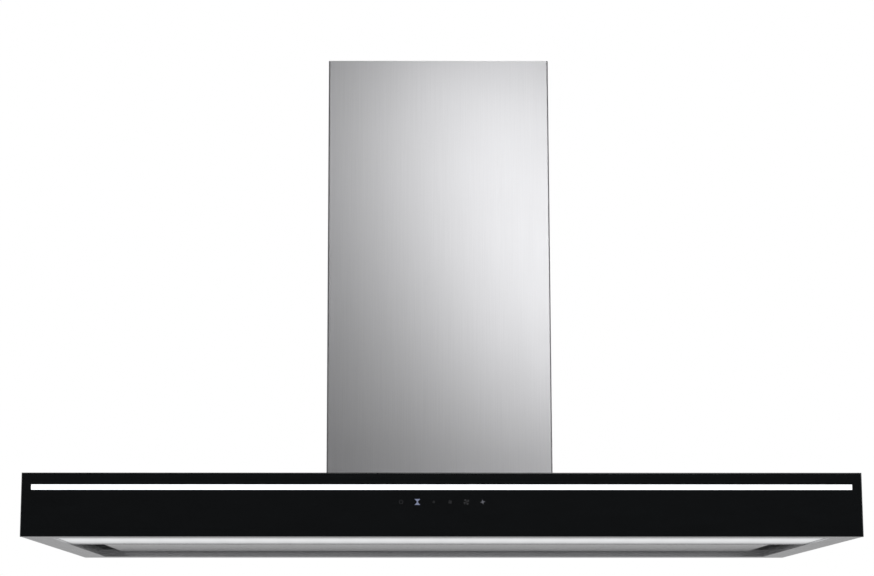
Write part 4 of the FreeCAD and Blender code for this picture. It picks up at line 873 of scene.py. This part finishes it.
class HOOD_OT_stage(Operator):
    """Floor, surroundings, lamps and camera"""
    bl_idname = "rangehood.stage"
    bl_label = "Stage"

    def floor(self, settings):
        """Wide pale disc far below the hood."""
        mesh = bmesh.new()
        bmesh.ops.create_circle(mesh, cap_ends=True, segments=96, radius=settings.floor_radius)
        data = bpy.data.meshes.new("studio_floor")
        mesh.to_mesh(data)
        mesh.free()
        finish = Finish("studio_floor", settings.floor_tint, roughness=0.75, specular=0.2)
        mottle = finish.noise(1.5, detail=3.0)
        finish.vary(mottle, 0.012)
        seen = finish.node("ShaderNodeLightPath").outputs["Is Camera Ray"]
        glow = finish.remap(seen, settings.floor_bounce, settings.floor_glow, 0.0, 1.0)
        finish.glow(mottle, settings.floor_tint, glow, least=0.98)
        data.materials.append(finish.material)
        floor = bpy.data.objects.new("studio_floor", data)
        floor.location.z = -settings.floor_drop
        bpy.context.scene.collection.objects.link(floor)

    def surroundings(self, settings):
        """White backdrop for the camera, and a room that is darker in front of the hood."""
        world = bpy.data.worlds.new("studio")
        world.use_nodes = True
        tree = world.node_tree
        tree.nodes.clear()

        def add(kind, **values):
            node = tree.nodes.new(kind)
            for name, value in values.items():
                setattr(node, name, value)
            return node

        bright_side, dim_end, bright_end = (0.10, 0.84, 0.42), -0.5, 0.9
        direction = add("ShaderNodeTexCoord").outputs["Generated"]
        facing = add("ShaderNodeVectorMath", operation="DOT_PRODUCT")
        facing.inputs[1].default_value = bright_side
        tree.links.new(direction, facing.inputs[0])
        ramp = add("ShaderNodeMapRange", interpolation_type="SMOOTHSTEP")
        for socket, value in (("From Min", dim_end), ("From Max", bright_end),
                              ("To Min", settings.room_dark), ("To Max", settings.room_light)):
            ramp.inputs[socket].default_value = value
        tree.links.new(facing.outputs["Value"], ramp.inputs["Value"])
        room = add("ShaderNodeBackground")
        tree.links.new(ramp.outputs["Result"], room.inputs["Strength"])
        backdrop = add("ShaderNodeBackground")
        backdrop.inputs["Color"].default_value = (1.0, 1.0, 1.0, 1.0)
        rays = add("ShaderNodeLightPath")
        choice = add("ShaderNodeMixShader")
        tree.links.new(rays.outputs["Is Camera Ray"], choice.inputs["Fac"])
        tree.links.new(room.outputs["Background"], choice.inputs[1])
        tree.links.new(backdrop.outputs["Background"], choice.inputs[2])
        output = add("ShaderNodeOutputWorld")
        tree.links.new(choice.outputs["Shader"], output.inputs["Surface"])
        bpy.context.scene.world = world

    def lamp(self, name, place, target, size, power, roll=0.0):
        """Soft rectangular lamp that the camera doesn't see, rolled by an angle in degrees."""
        light = bpy.data.lights.new(name, "AREA")
        light.shape = "RECTANGLE"
        light.size, light.size_y = size
        light.energy = power
        lamp = bpy.data.objects.new(name, light)
        lamp.location = place
        aim = (Vector(target) - Vector(place)).to_track_quat("-Z", "Y")
        lamp.rotation_euler = (aim @ Quaternion((0.0, 0.0, 1.0), math.radians(roll))).to_euler()
        lamp.visible_camera = False
        bpy.context.scene.collection.objects.link(lamp)

    def camera(self, settings):
        """Camera below the hood's underside, looking a little up."""
        data = bpy.data.cameras.new("camera")
        data.lens = settings.lens
        data.sensor_width = 36.0
        data.shift_x, data.shift_y = settings.shift
        data.dof.use_dof = False
        data.clip_end = 200.0
        camera = bpy.data.objects.new("camera", data)
        camera.location = settings.eye
        camera.rotation_euler = (math.pi / 2 + settings.pitch, 0.0, -settings.yaw)
        bpy.context.scene.collection.objects.link(camera)
        bpy.context.scene.camera = camera

    def execute(self, context):
        settings = context.scene.hood_stage
        self.floor(settings)
        self.surroundings(settings)
        self.lamp("key_lamp", place=(0.28, -1.97, 0.08), target=(0.10, -0.17, -0.25), size=(0.40, 1.00),
                  power=settings.key_power, roll=22)
        self.lamp("rear_lamp", place=(1.4, 2.4, 0.3), target=(0.0, 0.17, -0.3), size=(1.2, 1.4),
                  power=settings.rear_power)
        self.lamp("overhead_lamp", place=(0.0, 0.0, 3.0), target=(0.0, 0.0, 0.0), size=(6.0, 6.0),
                  power=settings.overhead_power)
        self.camera(settings)
        context.scene.view_settings.view_transform = "Standard"
        return {"FINISHED"}


# ---------------------------------------------------------------------------------------------
# Sidebar panel
# ---------------------------------------------------------------------------------------------

OPERATORS = (HOOD_OT_front_glass, HOOD_OT_light_line, HOOD_OT_touch_keys, HOOD_OT_body_shell,
             HOOD_OT_chimney, HOOD_OT_suction_panel, HOOD_OT_work_light, HOOD_OT_grease_filters,
             HOOD_OT_support_frame, HOOD_OT_blower, HOOD_OT_control_box, HOOD_OT_cover_screws,
             HOOD_OT_stage)

SETTINGS = {"hood_steel": HoodSteelSettings, "hood_glass": HoodGlassSettings,
            "hood_light": HoodLightSettings, "hood_keys": HoodKeySettings,
            "hood_filters": HoodFilterSettings, "hood_screws": HoodScrewSettings,
            "hood_stage": HoodStageSettings}


class HOOD_PT_sidebar(Panel):
    """Everything that makes up the range hood"""
    bl_idname = "HOOD_PT_sidebar"
    bl_label = "Range Hood"
    bl_space_type = "VIEW_3D"
    bl_region_type = "UI"
    bl_category = "Range Hood"

    def draw(self, context):
        for operator in OPERATORS:
            self.layout.operator(operator.bl_idname)
        for name, group in SETTINGS.items():
            box = self.layout.box()
            box.label(text=group.__doc__)
            for setting in group.__annotations__:
                box.prop(getattr(context.scene, name), setting)


def register():
    for cls in (*SETTINGS.values(), *OPERATORS, HOOD_PT_sidebar):
        bpy.utils.register_class(cls)
    for name, group in SETTINGS.items():
        setattr(bpy.types.Scene, name, PointerProperty(type=group))


def unregister():
    for name in SETTINGS:
        delattr(bpy.types.Scene, name)
    for cls in (HOOD_PT_sidebar, *reversed(OPERATORS), *reversed(SETTINGS.values())):
        bpy.utils.unregister_class(cls)


def main():
    """Dresses the hood and sets the stage."""
    register()
    bpy.ops.rangehood.front_glass()
    bpy.ops.rangehood.light_line()
    bpy.ops.rangehood.touch_keys()
    bpy.ops.rangehood.body_shell()
    bpy.ops.rangehood.chimney()
    bpy.ops.rangehood.suction_panel()
    bpy.ops.rangehood.work_light()
    bpy.ops.rangehood.grease_filters()
    bpy.ops.rangehood.support_frame()
    bpy.ops.rangehood.blower()
    bpy.ops.rangehood.control_box()
    bpy.ops.rangehood.cover_screws()
    bpy.ops.rangehood.stage()


if __name__ == "__main__":
    main()
